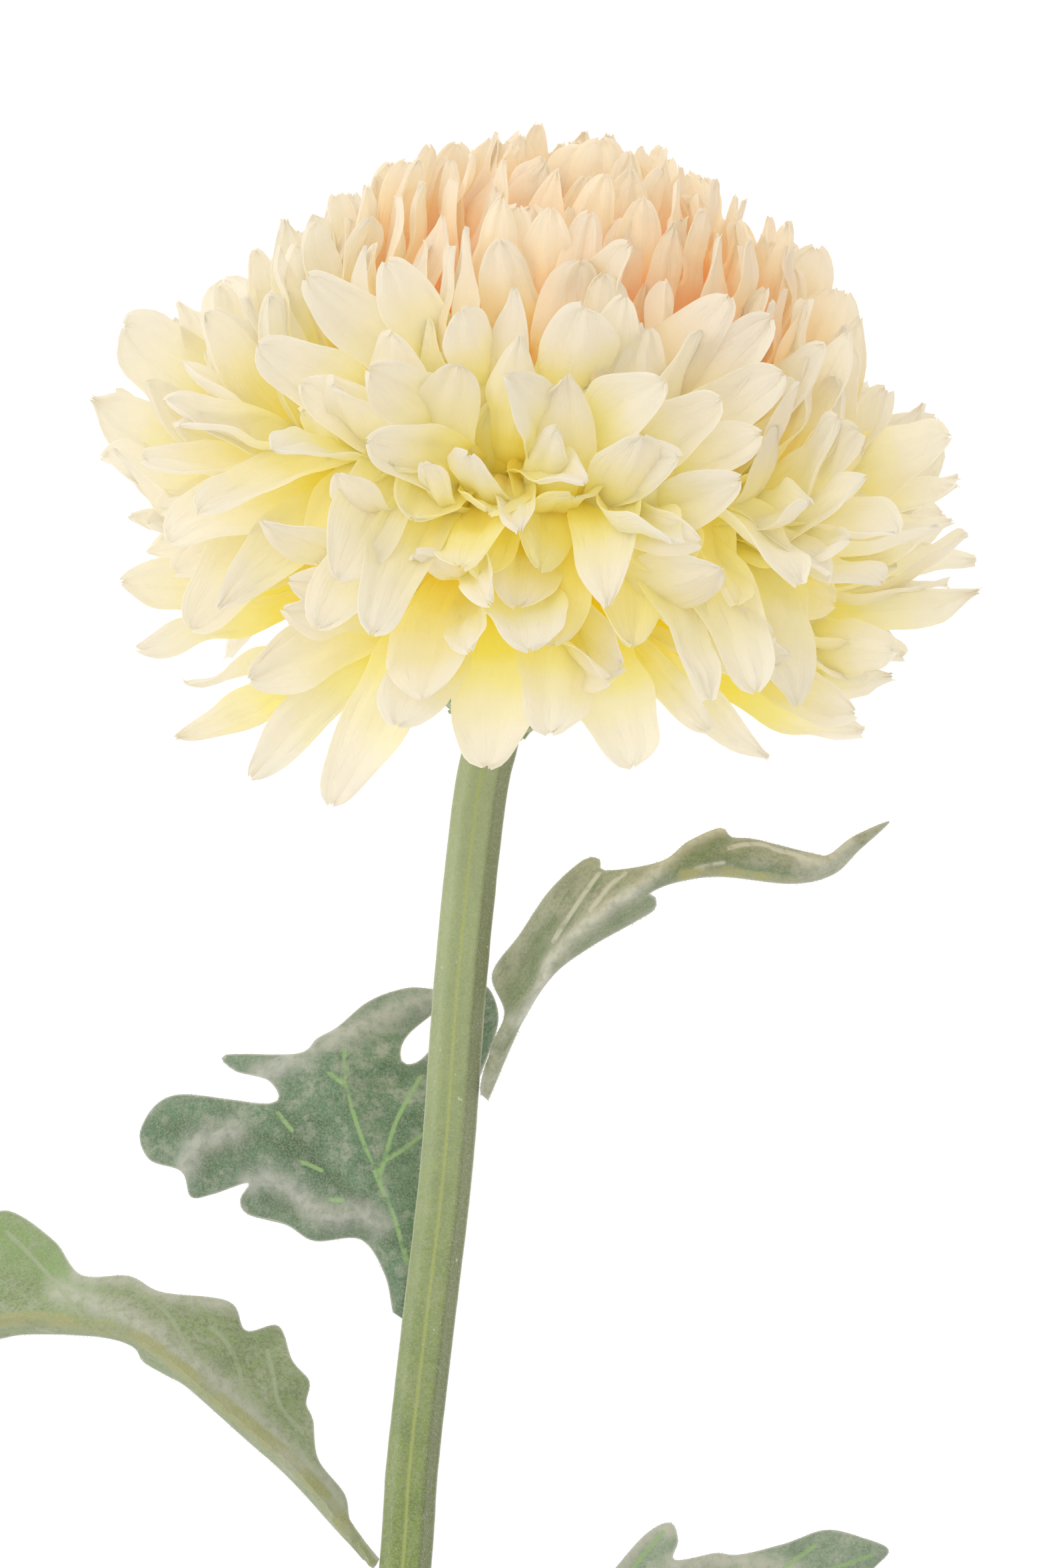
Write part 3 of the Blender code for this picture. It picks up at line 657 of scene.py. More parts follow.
# Petals that the photograph shows one by one: tip and a place half-way to it, in millimetres,
# then width, how pointed, how folded, and roll
LONE_PETALS = (
    ((-33.8, -52.5, 105.8), (-24.9, -34.1, 108.7), 12.0, 0.0, -0.4, 0.1),
    ((-47.5, -47.7, 94.4), (-34.8, -33.5, 99.8), 9.0, 0.1, 0.2, 0.5),
    ((-61.7, -41.2, 82.6), (-46.0, -34.1, 66.0), 7.5, 0.9, 0.2, 0.5),
    ((-58.1, -33.1, 100.0), (-41.5, -26.1, 91.0), 11.0, 0.1, -0.2, 0.3),
    ((-48.0, -31.5, 102.4), (-34.7, -25.9, 104.6), 11.5, 0.0, -0.2, 0.3),
    ((-42.1, -19.5, 113.0), (-30.1, -21.9, 109.2), 10.0, 0.1, 0.0, 0.4),
    ((-41.0, -14.9, 115.6), (-29.1, -17.8, 111.6), 8.5, 0.2, 0.6, 0.6),
    ((-67.8, -25.1, 89.4), (-50.9, -20.4, 84.8), 9.0, 0.3, 0.2, 0.3),
    ((-70.5, -14.8, 90.2), (-55.0, -15.1, 76.7), 9.5, 0.3, 0.1, 0.4),
    ((-45.2, -5.0, 119.2), (-33.6, -12.0, 114.3), 9.0, 0.6, 0.2, 0.5),
    ((-72.3, 6.0, 97.2), (-55.4, -7.6, 87.7), 13.0, 1.0, -0.2, 0.3),
    ((-32.8, 0.5, 127.9), (-27.6, -6.8, 120.0), 11.0, 0.1, 0.0, 0.5),
    ((-17.9, -35.8, 122.2), (-17.9, -26.1, 119.3), 16.0, 0.0, -0.5, 0.0),
    ((-23.1, -40.1, 119.9), (-19.1, -31.0, 117.4), 13.0, 0.0, 0.0, 0.1),
    ((-7.8, -46.7, 116.2), (-7.8, -34.6, 114.4), 15.0, 0.0, -0.4, 0.0),
    ((-19.8, -12.1, 129.9), (-14.9, -17.7, 125.6), 8.0, 0.0, 0.3, 0.9),
    ((-6.9, -19.7, 131.8), (-11.3, -13.8, 128.5), 8.0, 0.1, 0.3, -0.8),
    ((-9.6, -28.3, 127.1), (-12.3, -24.0, 123.0), 9.0, 0.1, 0.2, 0.2),
    ((2.4, -41.1, 121.4), (3.2, -31.9, 116.7), 13.5, 0.0, -0.4, 0.0),
    ((16.2, -46.5, 117.1), (13.2, -35.0, 114.2), 14.5, 0.0, -0.6, -0.1),
    ((29.6, -40.5, 114.8), (22.4, -32.3, 108.6), 7.0, 0.3, 0.6, -0.9),
    ((39.0, -44.4, 110.5), (26.6, -34.9, 106.9), 8.0, 1.0, 0.2, -0.3),
    ((55.9, -41.7, 98.6), (39.9, -35.8, 85.3), 8.5, 1.0, 0.2, -0.4),
    ((53.6, -37.0, 103.2), (42.0, -31.5, 88.2), 9.0, 0.3, 0.2, -0.5),
    ((58.1, -30.6, 104.3), (50.0, -31.9, 75.3), 7.5, 1.0, 0.4, -0.6),
    ((59.3, -26.2, 105.6), (50.6, -26.2, 84.7), 10.0, 0.6, 0.0, -0.4),
    ((74.2, -16.4, 91.0), (61.7, -21.2, 66.0), 8.0, 1.0, 0.6, -0.8),
    ((42.1, -28.3, 114.2), (29.7, -30.2, 108.4), 10.0, 0.4, 0.8, -0.5),
    ((39.2, -24.6, 117.2), (30.7, -24.5, 111.3), 9.5, 0.0, -0.2, -0.2),
    ((30.4, -14.0, 127.5), (18.5, -20.6, 122.6), 14.5, 0.2, 0.2, -0.3),
    ((15.4, -29.4, 118.4), (9.8, -26.1, 113.4), 11.0, 0.0, 0.2, -0.2),
    ((13.1, -31.2, 120.3), (5.6, -29.8, 114.3), 9.0, 0.2, 0.8, -0.4),
    ((-0.7, -27.5, 132.5), (-1.2, -22.3, 128.1), 14.0, 0.0, -0.2, 0.0),
    ((-5.0, 18.0, 132.4), (1.3, 10.5, 128.1), 13.0, 0.1, -0.2, -0.2),
    ((8.4, -0.1, 135.5), (1.3, 3.8, 129.9), 10.0, 0.5, 0.1, 0.4),
    ((-2.4, -8.5, 133.4), (-4.3, -0.7, 127.8), 7.5, 0.8, 0.0, 0.2),
    ((-27.8, 7.2, 127.6), (-17.4, 4.1, 124.3), 12.0, 0.0, 0.0, 0.4),
    ((-18.7, 2.9, 131.3), (-16.4, -4.4, 125.6), 6.5, 0.2, 0.6, 0.9),
    ((-2.9, -20.2, 122.4), (-1.0, -10.8, 118.9), 13.5, 0.0, -0.6, 0.0),
    ((21.2, 17.2, 128.3), (12.6, 11.6, 124.6), 12.5, 0.1, 0.0, -0.3),
    ((27.5, -9.6, 128.5), (17.3, -6.7, 125.2), 9.5, 0.3, 0.3, -0.4),
    ((34.1, 1.3, 127.1), (24.8, -3.4, 123.8), 11.0, 0.1, 0.2, -0.4),
    ((-46.3, 24.0, 112.7), (-36.5, 17.8, 112.9), 12.5, 0.0, 0.1, 0.3),
    ((-28.3, 19.7, 122.3), (-19.3, 13.7, 120.0), 13.5, 0.0, -0.2, 0.2),
    ((-12.5, 29.4, 123.7), (-9.9, 23.1, 120.5), 10.5, 0.0, 0.2, 0.1),
    ((-5.6, 41.1, 116.1), (-3.8, 31.8, 115.5), 11.0, 0.1, -0.2, 0.0),
    ((8.1, 28.6, 126.0), (6.5, 20.1, 123.2), 14.0, 0.0, 0.0, 0.0),
    ((-24.9, 38.1, 113.8), (-20.4, 30.1, 113.8), 11.0, 0.0, 0.0, 0.2),
    ((16.3, 40.6, 114.0), (11.8, 35.8, 112.7), 11.0, 0.2, 0.0, -0.2),
    ((32.3, 32.2, 113.7), (22.0, 20.0, 115.8), 12.5, 0.0, 0.0, -0.2),
    ((39.2, 28.4, 110.9), (27.0, 17.0, 114.4), 11.5, 0.2, 0.1, -0.3),
    ((30.7, 14.5, 122.6), (20.0, 8.0, 119.9), 12.5, 0.1, 0.0, -0.3),
    ((41.5, 19.1, 113.6), (29.0, 11.0, 115.0), 12.0, 0.0, 0.1, -0.3),
    ((37.7, 9.0, 119.4), (26.0, 4.0, 117.7), 11.5, 0.1, -0.1, -0.3),
    ((24.5, 4.4, 127.1), (14.0, 1.5, 122.3), 12.0, 0.0, 0.1, -0.2),
    ((-38.1, 35.3, 106.7), (-26.0, 25.0, 111.4), 12.5, 0.0, 0.0, 0.2),
    ((-38.9, 17.6, 116.3), (-27.0, 11.0, 116.1), 12.0, 0.1, 0.0, 0.3),
    ((-74.3, 16.1, 87.4), (-58.4, 6.6, 66.0), 13.0, 1.0, 0.1, 0.3),
    ((-69.9, 29.1, 80.2), (-59.3, 19.3, 66.0), 16.0, 0.0, -0.2, 0.2),
    ((70.9, 10.1, 84.5), (58.9, 4.2, 76.5), 15.0, 0.0, 0.0, -0.3),
    ((72.2, 1.0, 82.0), (58.9, -2.7, 77.2), 12.0, 0.3, 0.0, -0.3),
    ((71.4, -4.8, 88.5), (57.8, -9.5, 78.8), 11.0, 0.9, 0.2, -0.4),
)

# Room about a lone petal, when it counts as rising, and how it rolls and tilts
LONE_ROOM = math.radians(6.3)
LONE_RISING = 0.6
LONE_ROLL = 0.4
LONE_TILT = 0.3
LONE_DEEP = 1.08

# How far petals of the spiral turn towards the front, and where only lone petals hang
FACING = 0.42
CROWN_FACING = 0.95
OPEN_LATITUDE = math.radians(-12)
OPEN_LATITUDE_ASIDE = math.radians(-27)
OPEN_LONGITUDE = math.radians(88)

# Where the bloom's pieces part
CROWN_FROM = math.radians(36)
UPPER_FROM = math.radians(3)

# How far above the table a pressed petal stays, in millimetres
PETAL_CLEARANCE = 0.3
PETAL_CLEARANCE_CHANGE = 0.5

# Chance changes of a spiral petal, and what it loses beside a lone one
PLACE_CHANGE = math.radians(3.0)
TURN_CHANGE = math.radians(3.5)
WIDTH_CHANGE = 0.18
REACH_CHANGE = 0.05
LEAN_CHANGE = 5
ROLL_CHANGE = math.radians(26)
CROWN_WIDTH = 10.0
LOW_WIDTH = 13.5
SHARE_BESIDE_LONE = 0.84
DEEP_BESIDE_LONE = 0.78

# Bands, in degrees, over which petals change with their latitude downwards or upwards, or with
# their turn from the front
WIDER_DOWN = (-68, -14)
SHORTER_DOWN = (0, 16)
OPENER_DOWN = (-12, 12)
FACING_UP = (10, 35)
ASIDE = (35, 80)
LESS_OPEN_ASIDE = (35, 70)

# The heart's points, how far it swells past the petals' roots, and how deep its colour is
HEART_ROWS = 20
HEART_COLUMNS = 40
HEART_SWELL = 1.04
HEART_ALONG = 0.12


def bearing(point):
    """Latitude, longitude and distance of a point about the bloom's heart."""
    off = np.array(point) * MM - HEART
    far = np.linalg.norm(off)
    return math.asin(np.dot(off, AXIS) / far), math.atan2(np.dot(off, RIGHT), np.dot(off, FRONT)), far


def from_front(longitude):
    """How far round from the front a longitude is, to the left or to the right."""
    return abs((longitude + math.pi) % (2 * math.pi) - math.pi)


def between(angle, low, high):
    """How far an angle has come from the low one to the high one, which are in degrees."""
    return smooth_step(angle, math.radians(low), math.radians(high))


def is_open(latitude, longitude):
    """Whether only lone petals hang here, low at the front."""
    turned = from_front(longitude)
    limit = mix(OPEN_LATITUDE, OPEN_LATITUDE_ASIDE, between(turned, *LESS_OPEN_ASIDE))
    return latitude < limit and turned < OPEN_LONGITUDE


def near_lone(latitude, longitude, ways):
    return max(np.dot(outward(latitude, longitude), way) for way in ways) > math.cos(LONE_ROOM)


def keep_petal(blooms, place, grid, share, look, width):
    """Puts a petal into the piece that its latitude belongs to."""
    latitude, longitude = place
    grid = above_table(grid, (PETAL_CLEARANCE + PETAL_CLEARANCE_CHANGE * abs(look["tone"])) * MM)
    if latitude > CROWN_FROM:
        bloom = blooms["bloom_crown"]
    elif latitude > UPPER_FROM:
        bloom = blooms["bloom_skirt_upper"]
    else:
        bloom = blooms["bloom_skirt_lower"]
    bloom.add(grid, share, look["deep"], peach_share(latitude, longitude), look["tone"], width)


def add_petal(blooms, place, far, width, lean, roll, look):
    """A petal of the spiral, whose root lies below or above its tip by the lean."""
    latitude, longitude = place
    root_way = outward(latitude - lean, longitude)
    root = HEART + root_way * HEART_REACH
    up_way = crownward(latitude, longitude)
    tip_way = outward(latitude, longitude)
    across_way = np.cross(tip_way, up_way)
    share, middle = petal_line(root, root_way, HEART + tip_way * far, across_way, look)
    keep_petal(blooms, place, petal_grid(share, middle, across_way, width, roll, look), share, look, width)


def add_lone_petal(blooms, petal, look):
    """A petal through its own half-way place to its own tip."""
    tip, half_way, width, sharp, fold, roll = petal
    look.update({"sharp": sharp, "fold": fold, "bend": 1.0, "deep": LONE_DEEP,
                 "tip": look["tip"] * 0.3, "twist": look["twist"] * 0.5})
    latitude, longitude, _ = bearing(tip)
    tip = np.array(tip) * MM
    half_way = np.array(half_way) * MM
    root_way = unit(unit(half_way - HEART) * 2 - unit(tip - HEART))
    root = HEART + root_way * HEART_REACH
    share, middle = petal_line(root, root_way, tip, np.zeros(3), look)
    face = outward(latitude, longitude)
    run = tip - half_way
    run = unit(run - face * np.dot(run, face))
    rising = float(np.dot(run, crownward(latitude, longitude)))
    aside = float(np.dot(run, RIGHT * math.cos(longitude) - FRONT * math.sin(longitude)))
    across_way = np.cross(run, -face if rising > LONE_RISING else face)
    roll = LONE_ROLL * roll + LONE_TILT * aside
    look["open"] = float(between(-latitude, *OPENER_DOWN))
    grid = petal_grid(share, middle, across_way, width * MM, roll, look)
    keep_petal(blooms, (latitude, longitude), grid, share, look, width * MM)


def make_heart(fabric):
    """The small round heart that the petals' roots stand on."""
    points = []
    peach = []
    for row in range(HEART_ROWS + 1):
        latitude = mix(-math.pi / 2, math.pi / 2, row / HEART_ROWS)
        for column in range(HEART_COLUMNS):
            longitude = 2 * math.pi * column / HEART_COLUMNS
            points.append(HEART + outward(latitude, longitude) * HEART_REACH * HEART_SWELL)
            peach.append(peach_share(latitude, longitude))
    count = len(points)
    attributes = {"along": np.full(count, HEART_ALONG), "peach": peach, "tone": np.zeros(count)}
    faces = ring_faces(HEART_ROWS, HEART_COLUMNS)
    made = mesh_object("bloom_heart", points, faces, fabric, attributes, np.zeros((count, 2)))
    place_piece(made, "bloom_skirt")


def make_bloom():
    fabric = petal_material()
    draw = random.Random(PETAL_SEED)
    blooms = {"bloom_crown": Bloom(), "bloom_skirt_upper": Bloom(), "bloom_skirt_lower": Bloom()}
    lone_ways = [outward(*bearing(petal[0])[:2]) for petal in LONE_PETALS]
    for latitude, longitude in petal_places():
        look = petal_draws(draw)
        latitude += PLACE_CHANGE * look["latitude"]
        longitude += TURN_CHANGE * look["longitude"] / max(math.cos(latitude), 0.35)
        if is_open(latitude, longitude):
            continue
        down = between(-latitude, *WIDER_DOWN)
        aside = between(from_front(longitude), *ASIDE)
        width = mix(CROWN_WIDTH, LOW_WIDTH, down) * (1 + WIDTH_CHANGE * look["wide"]) * MM
        far = reach(latitude) * (1 + REACH_CHANGE * look["far"])
        far *= 1 - LOW_SIDE_SHARE * aside * between(-latitude, *SHORTER_DOWN)
        height = math.degrees(latitude)
        lean = mix(table_value(LEANS, height), table_value(LEANS_ASIDE, height), aside)
        lean = math.radians(lean + LEAN_CHANGE * look["bend"])
        facing = mix(FACING, CROWN_FACING, between(latitude, *FACING_UP))
        roll = ROLL_CHANGE * look["roll"] - facing * math.sin(longitude) * math.cos(latitude)
        look["open"] = between(-latitude, *OPENER_DOWN)
        look["deep"] = 1 + PALER_ASIDE * aside * down
        if near_lone(latitude, longitude, lone_ways):
            far *= SHARE_BESIDE_LONE
            look["deep"] *= DEEP_BESIDE_LONE
        elif latitude < rim_latitude(longitude):
            far *= UNDER_PETAL_SHARE
            width *= UNDER_PETAL_SHARE
        add_petal(blooms, (latitude, longitude), far, width, lean, roll, look)
    for petal in LONE_PETALS:
        add_lone_petal(blooms, petal, petal_draws(draw))
    for name, bloom in blooms.items():
        crown = name == "bloom_crown"
        place_piece(bloom.build(name + "_petals", fabric), "bloom_crown" if crown else "bloom_skirt")
    make_heart(fabric)


# Hairs of the flock, in millimetres

HAIR_RADIUS = 0.026
HAIR_LENGTH = 0.80
HAIR_ROOT = 0.08
HAIR_CLEARANCE = 0.3
HAIR_SPREAD = 0.8
HAIR_SHARES = (0.4, 1.2)
HAIR_ASIDE = (0.3, 0.5, 0.81)


def hair_object(name, draw, roots, ways):
    """Thin closed needles that lean every way from their roots, given in millimetres."""
    points = []
    faces = []
    for root, way in zip(roots, ways):
        lean = unit(way + np.array([draw.uniform(-HAIR_SPREAD, HAIR_SPREAD) for _ in range(3)]))
        side = unit(np.cross(lean, HAIR_ASIDE))
        other = np.cross(lean, side)
        foot = root - lean * HAIR_ROOT
        tip = foot + lean * HAIR_LENGTH * draw.uniform(*HAIR_SHARES)
        if tip[2] < HAIR_CLEARANCE:
            continue
        first = len(points)
        for corner in range(3):
            turn = 2 * math.pi * corner / 3
            points.append(foot + (side * math.cos(turn) + other * math.sin(turn)) * HAIR_RADIUS)
        points.append(tip)
        faces.append((first, first + 2, first + 1))
        for corner in range(3):
            faces.append((first + corner, first + (corner + 1) % 3, first + 3))
    return mesh_object(name, np.array(points) * MM, faces, hair_material())


def hair_material():
    """Pale fibres, shared by the stem and the leaves."""
    made = bpy.data.materials.get("flock_hairs")
    if made is None:
        n = Nodes(new_material("flock_hairs"))
        drift = n.noise(400, 2, n.coordinate("Object"))
        colour = n.ramp(drift, [(0.35, (0.31, 0.31, 0.22)), (0.65, (0.47, 0.46, 0.37))])
        values = {"Base Color": colour, "Roughness": 0.85, "Specular IOR Level": 0.15}
        made = n.finish(n.shader("Principled", values))
    return made


# Stem and calyx, in millimetres

# The stem's middle line below the calyx's neck, to its cut end
STEM_PATH = ((-9.6, -52, 52.8), (-12.8, -81.7, 47.1), (-15.4, -115.9, 40.6), (-18.9, -145.8, 34.9),
             (-21.6, -169.7, 30.3), (-22.9, -188, 26.8), (-27.2, -235, 17.3), (-33, -303, 3.9))
STEM_RADIUS = 4.4
STEM_RIBS = 6
STEM_RIB_DEPTH = 0.055
STEM_ROUGHNESS = 0.05
STEM_CLEARANCE = 0.05
STEM_SIDES = 72
STEM_STEP = 1.4
STEM_CUT_SLANT = math.radians(35)
STREAK_TURN = math.radians(84)
# Turns over which the painted shade on the stem's right flank fades in and out
STEM_SHADED_FLANK = tuple(math.radians(angle) for angle in (117, 124, 200, 235))
STEM_HAIRS = 5200
STEM_HAIR_SEED = 3
CALYX_NECK_DEPTH = 41.8
NECK_GAP = 0.3

# A distance at which no line shows
FAR_OFF = 9.0


def make_stem(flocked):
    """The ribbed stem from the calyx's neck to its slanting cut end, which rests on the table."""
    neck = HEART / MM - AXIS * (CALYX_NECK_DEPTH + NECK_GAP)
    path = smooth_line([neck, *STEM_PATH], STEM_STEP)
    count = len(path)
    way = unit(np.gradient(path, axis=0))
    side = unit(np.cross(way, (0, 0, 1)))
    up = np.cross(side, way)
    turns = np.linspace(0, 2 * math.pi, STEM_SIDES, endpoint=False)
    crest = np.abs(np.cos(STEM_RIBS / 2 * turns)) ** 3
    radius = STEM_RADIUS * (1 - STEM_RIB_DEPTH + 2 * STEM_RIB_DEPTH * crest)
    rough = np.array([[noise.noise(Vector((row * 0.4, math.cos(turn) * 1.5, math.sin(turn) * 1.5)))
                       for turn in turns] for row in range(count)])
    radius = radius + STEM_ROUGHNESS * rough
    rings = (path[:, None, :] + side[:, None, :] * (radius * np.cos(turns))[..., None]
             + up[:, None, :] * (radius * np.sin(turns))[..., None])
    slant = (rings[-1] - path[-1]) @ side[-1]
    rings[-1] += way[-1] * (-slant * math.tan(STEM_CUT_SLANT))[:, None]
    rings[-2] = mix(rings[-3], rings[-1], 0.5)
    rings = above_table(rings * MM, STEM_CLEARANCE * MM) / MM
    points = np.concatenate((rings.reshape(-1, 3), [path[0]], [rings[-1].mean(axis=0)])) * MM
    faces = ring_faces(count - 1, STEM_SIDES)
    last = (count - 1) * STEM_SIDES
    for column in range(STEM_SIDES):
        following = (column + 1) % STEM_SIDES
        faces.append((following, column, len(points) - 2))
        faces.append((last + column, last + following, len(points) - 1))
    # Distance from the stem's right side, where the painted sheen line lies
    from_sheen_edge = np.minimum(np.abs(turns - math.pi), math.pi - np.abs(turns - math.pi)) * STEM_RADIUS
    # Painted shade: how far each turn lies within the stem's shaded right flank
    painted_shade_flank = smooth_step(turns, *STEM_SHADED_FLANK[:2]) * (1 - smooth_step(turns, *STEM_SHADED_FLANK[2:]))
    from_streak = np.abs((turns - STREAK_TURN + math.pi) % (2 * math.pi) - math.pi) * STEM_RADIUS
    opposite = (turns - STREAK_TURN - 3 * (2 * math.pi / STEM_RIBS)) % (2 * math.pi) * STEM_RADIUS
    from_streak = np.minimum(from_streak, opposite)
    attributes = {"edge": np.append(np.tile(from_sheen_edge, count), (FAR_OFF, FAR_OFF)),
                  "streak": np.append(np.tile(from_streak, count), (FAR_OFF, FAR_OFF)),
                  "painted_shade_flank": np.append(np.tile(painted_shade_flank, count), (0, 0))}
    place_piece(mesh_object("stem_ribbed", points, faces, flocked, attributes), "stem")

    draw = random.Random(STEM_HAIR_SEED)
    roots = []
    ways = []
    for _ in range(STEM_HAIRS):
        row = draw.randrange(count - 4)
        column = draw.randrange(STEM_SIDES)
        roots.append(mix(rings[row, column], rings[row + 1, column], draw.random()))
        ways.append(unit(rings[row, column] - path[row]) + way[row] * 0.5)
    place_piece(hair_object("stem_hairs", draw, roots, ways), "stem")


# The cup's profile and its outer side, each a distance from the axis and a depth
CALYX_SIDE = ((0.0, 41.8), (4.2, 41.7), (5.2, 40.8), (6.2, 38.6), (9.0, 36.6), (13.5, 33.9), (18.0, 31.2),
              (22.0, 28.6), (22.6, 27.8), (21.0, 27.4), (14.0, 29.2), (7.0, 30.2), (0.0, 30.4))
CUP_DEPTHS = (*CALYX_SIDE[1:7], (24.0, 27.2))
CALYX_SIDES = 52

# Rows of bracts: how many, from where to where, how wide, and how far they stand off the cup
BRACT_ROWS = ((13, 6.5, 23.5, 5.4, 0.2), (13, 6.0, 17.5, 4.8, 0.7), (8, 5.4, 11.5, 4.2, 1.2))
BRACT_HALF = 0.25
BRACT_TAPER = 2.2
BRACT_LEAST_WIDTH = 0.06
BRACT_ROOT_WIDTH = 0.8
BRACT_CROWN = 0.5
BRACT_ROUNDING = 0.35
BRACT_TIP_LIFT = 0.9


def calyx_point(radius, turn, depth):
    """A point given by its distance from the bloom's axis, turn about it and depth."""
    return HEART + level_way(turn) * radius * MM + AXIS * -depth * MM


def make_calyx(flocked):
    """A cup with three rows of pointed bracts lying over it."""
    points = []
    for radius, depth in CALYX_SIDE:
        for side in range(CALYX_SIDES):
            points.append(calyx_point(radius, 2 * math.pi * side / CALYX_SIDES, depth))
    faces = ring_faces(len(CALYX_SIDE) - 1, CALYX_SIDES, (0, 3, 2, 1))
    rows, columns = 10, 4
    pattern = np.array(sheet_faces(rows, columns))
    for number, (count, inner, outer, width, lift) in enumerate(BRACT_ROWS):
        for bract in range(count):
            turn = 2 * math.pi * (bract + 0.5 * number) / count
            grid = np.zeros((rows + 1, columns + 1, 3))
            for row in range(rows + 1):
                share = row / rows
                radius = mix(inner, outer, share)
                half = width / 2 * max(1 - share ** BRACT_TAPER, BRACT_LEAST_WIDTH)
                half *= mix(BRACT_ROOT_WIDTH, 1.0, share)
                for column in range(columns + 1):
                    u = column / columns * 2 - 1
                    raised = lift + BRACT_CROWN - BRACT_ROUNDING * u * u + BRACT_TIP_LIFT * share ** 3
                    depth = table_value(CUP_DEPTHS, radius) + raised
                    grid[row, column] = calyx_point(radius, turn + u * half / radius, depth)
            normal = grid_normals(grid) * BRACT_HALF * MM
            faces.extend((pattern + len(points)).tolist())
            points.extend((grid + normal).reshape(-1, 3))
            points.extend((grid - normal).reshape(-1, 3))
    far_off = np.full(len(points), FAR_OFF)
    attributes = {"edge": far_off, "streak": far_off, "painted_shade_flank": np.zeros(len(points))}
    place_piece(mesh_object("calyx_bracts", points, faces, flocked, attributes), "calyx")


# Leaves, in millimetres: midrib from petiole to tip, the outline seen from above on the left and
# right of that midrib, how steeply each half falls away, the height of its waves, and its lines

LEAF_A = {
    "midrib": ((-9.3, -103.5, 43.3), (-6.0, -95, 46), (-3.4, -89, 48), (0.5, -84.5, 50), (4.8, -79, 53),
               (9.5, -73.6, 56), (14.8, -69.2, 58), (20, -66, 59), (26, -63.8, 58.5), (32, -62.6, 56.5),
               (39, -62.6, 53.5), (46, -63.7, 50), (51.5, -62.6, 47.5), (62.1, -55.5, 46)),
    "left": ((-9.3, -102.6), (-7.4, -94.6), (-5.2, -88.9), (-7.4, -82.4), (-2.5, -75.3), (2.8, -67.5),
             (8.7, -62.2), (11.4, -62.1), (12.4, -64.0), (21.9, -62.4), (26.8, -58.9), (32.5, -56.6),
             (34.4, -58.2), (38.6, -58.6), (48.8, -61.1), (51.6, -61.2), (55.7, -58.2)),
    "right": ((-8.1, -104.4), (-4.4, -95.6), (-1.6, -89.6), (3.3, -82.2), (9.7, -77.3), (17.5, -72.9),
              (20.9, -70.7), (21.0, -68.6), (19.9, -67.9), (24.4, -66.0), (32.2, -65.0), (44.9, -66.3),
              (52.3, -64.7), (56.7, -60.6)),
    "falls": (1.7, 1.8),
    "wave": 0.9,
    "stalk": 16,
    "under": (0, 1),
    "veins": (((3.5, -76.5), (4.8, -74.2), (6.6, -71.5), (8.4, -68.8), (10.3, -66.1), (11.5, -64.6)),
              ((9.9, -71.0), (11.9, -68.3), (13.7, -66.3), (15.9, -64.5)),
              ((27.9, -63.7), (31.0, -62.9), (33.0, -62.7)),
              ((33.8, -60.2), (36.7, -59.6), (39.6, -59.6), (42.0, -60.5), (45.1, -61.3), (48.2, -62.4))),
    "ribs": (((25.9, -64.9), (30.5, -64.4), (34.9, -64.6), (39.8, -65.4), (44.5, -66.0)),),
    "crests": (((-3.2, -90.2), (-0.4, -87.2), (1.3, -84.1), (2.4, -80.3), (4.1, -77.9), (6.1, -75.8),
                (8.4, -73.7), (10.6, -71.7), (13.2, -69.8), (15.9, -68.0), (18.3, -66.3), (20.3, -64.8),
                (22.1, -63.0), (24.1, -61.0), (27.4, -58.7), (30.5, -57.2), (32.5, -56.8)),
               ((46, -62.3), (50.4, -62.6), (55, -59))),
    "hollows": ((2.3, ((-3.8, -87.6), (-2.3, -84.9), (-0.5, -82.3), (1.0, -79.6), (2.0, -78.1))),
                (0.6, ((3.3, -77.6), (5.5, -74.1), (7.2, -71.2), (9.0, -68.8), (10.6, -66.6), (11.8, -65.0))),
                (1.6, ((7.5, -77.9), (9.7, -76.3), (11.9, -74.7), (14.1, -73.2),
                       (16.8, -71.4), (20.0, -69.2))),
                (1.5, ((19.7, -67.6), (21.9, -66.2), (24.2, -64.8), (26.4, -62.9),
                       (28.6, -61.4), (33.0, -58.9))),
                (1.3, ((0.4, -77.0), (1.9, -75.0), (3.7, -73.0))),
                (1.0, ((29.8, -62.3), (33.6, -62.0), (36.7, -61.4))),
                (0.9, ((34.9, -63.3), (39.4, -63.8), (43.8, -64.3))),
                (0.6, ((-5.8, -95.4), (-3.8, -92.7), (-2.3, -89.8), (-1.0, -87.6)))),
    "crest_rise": 1.1,
    "crest_highlight_width": 0.9,
    "folds": (),
}
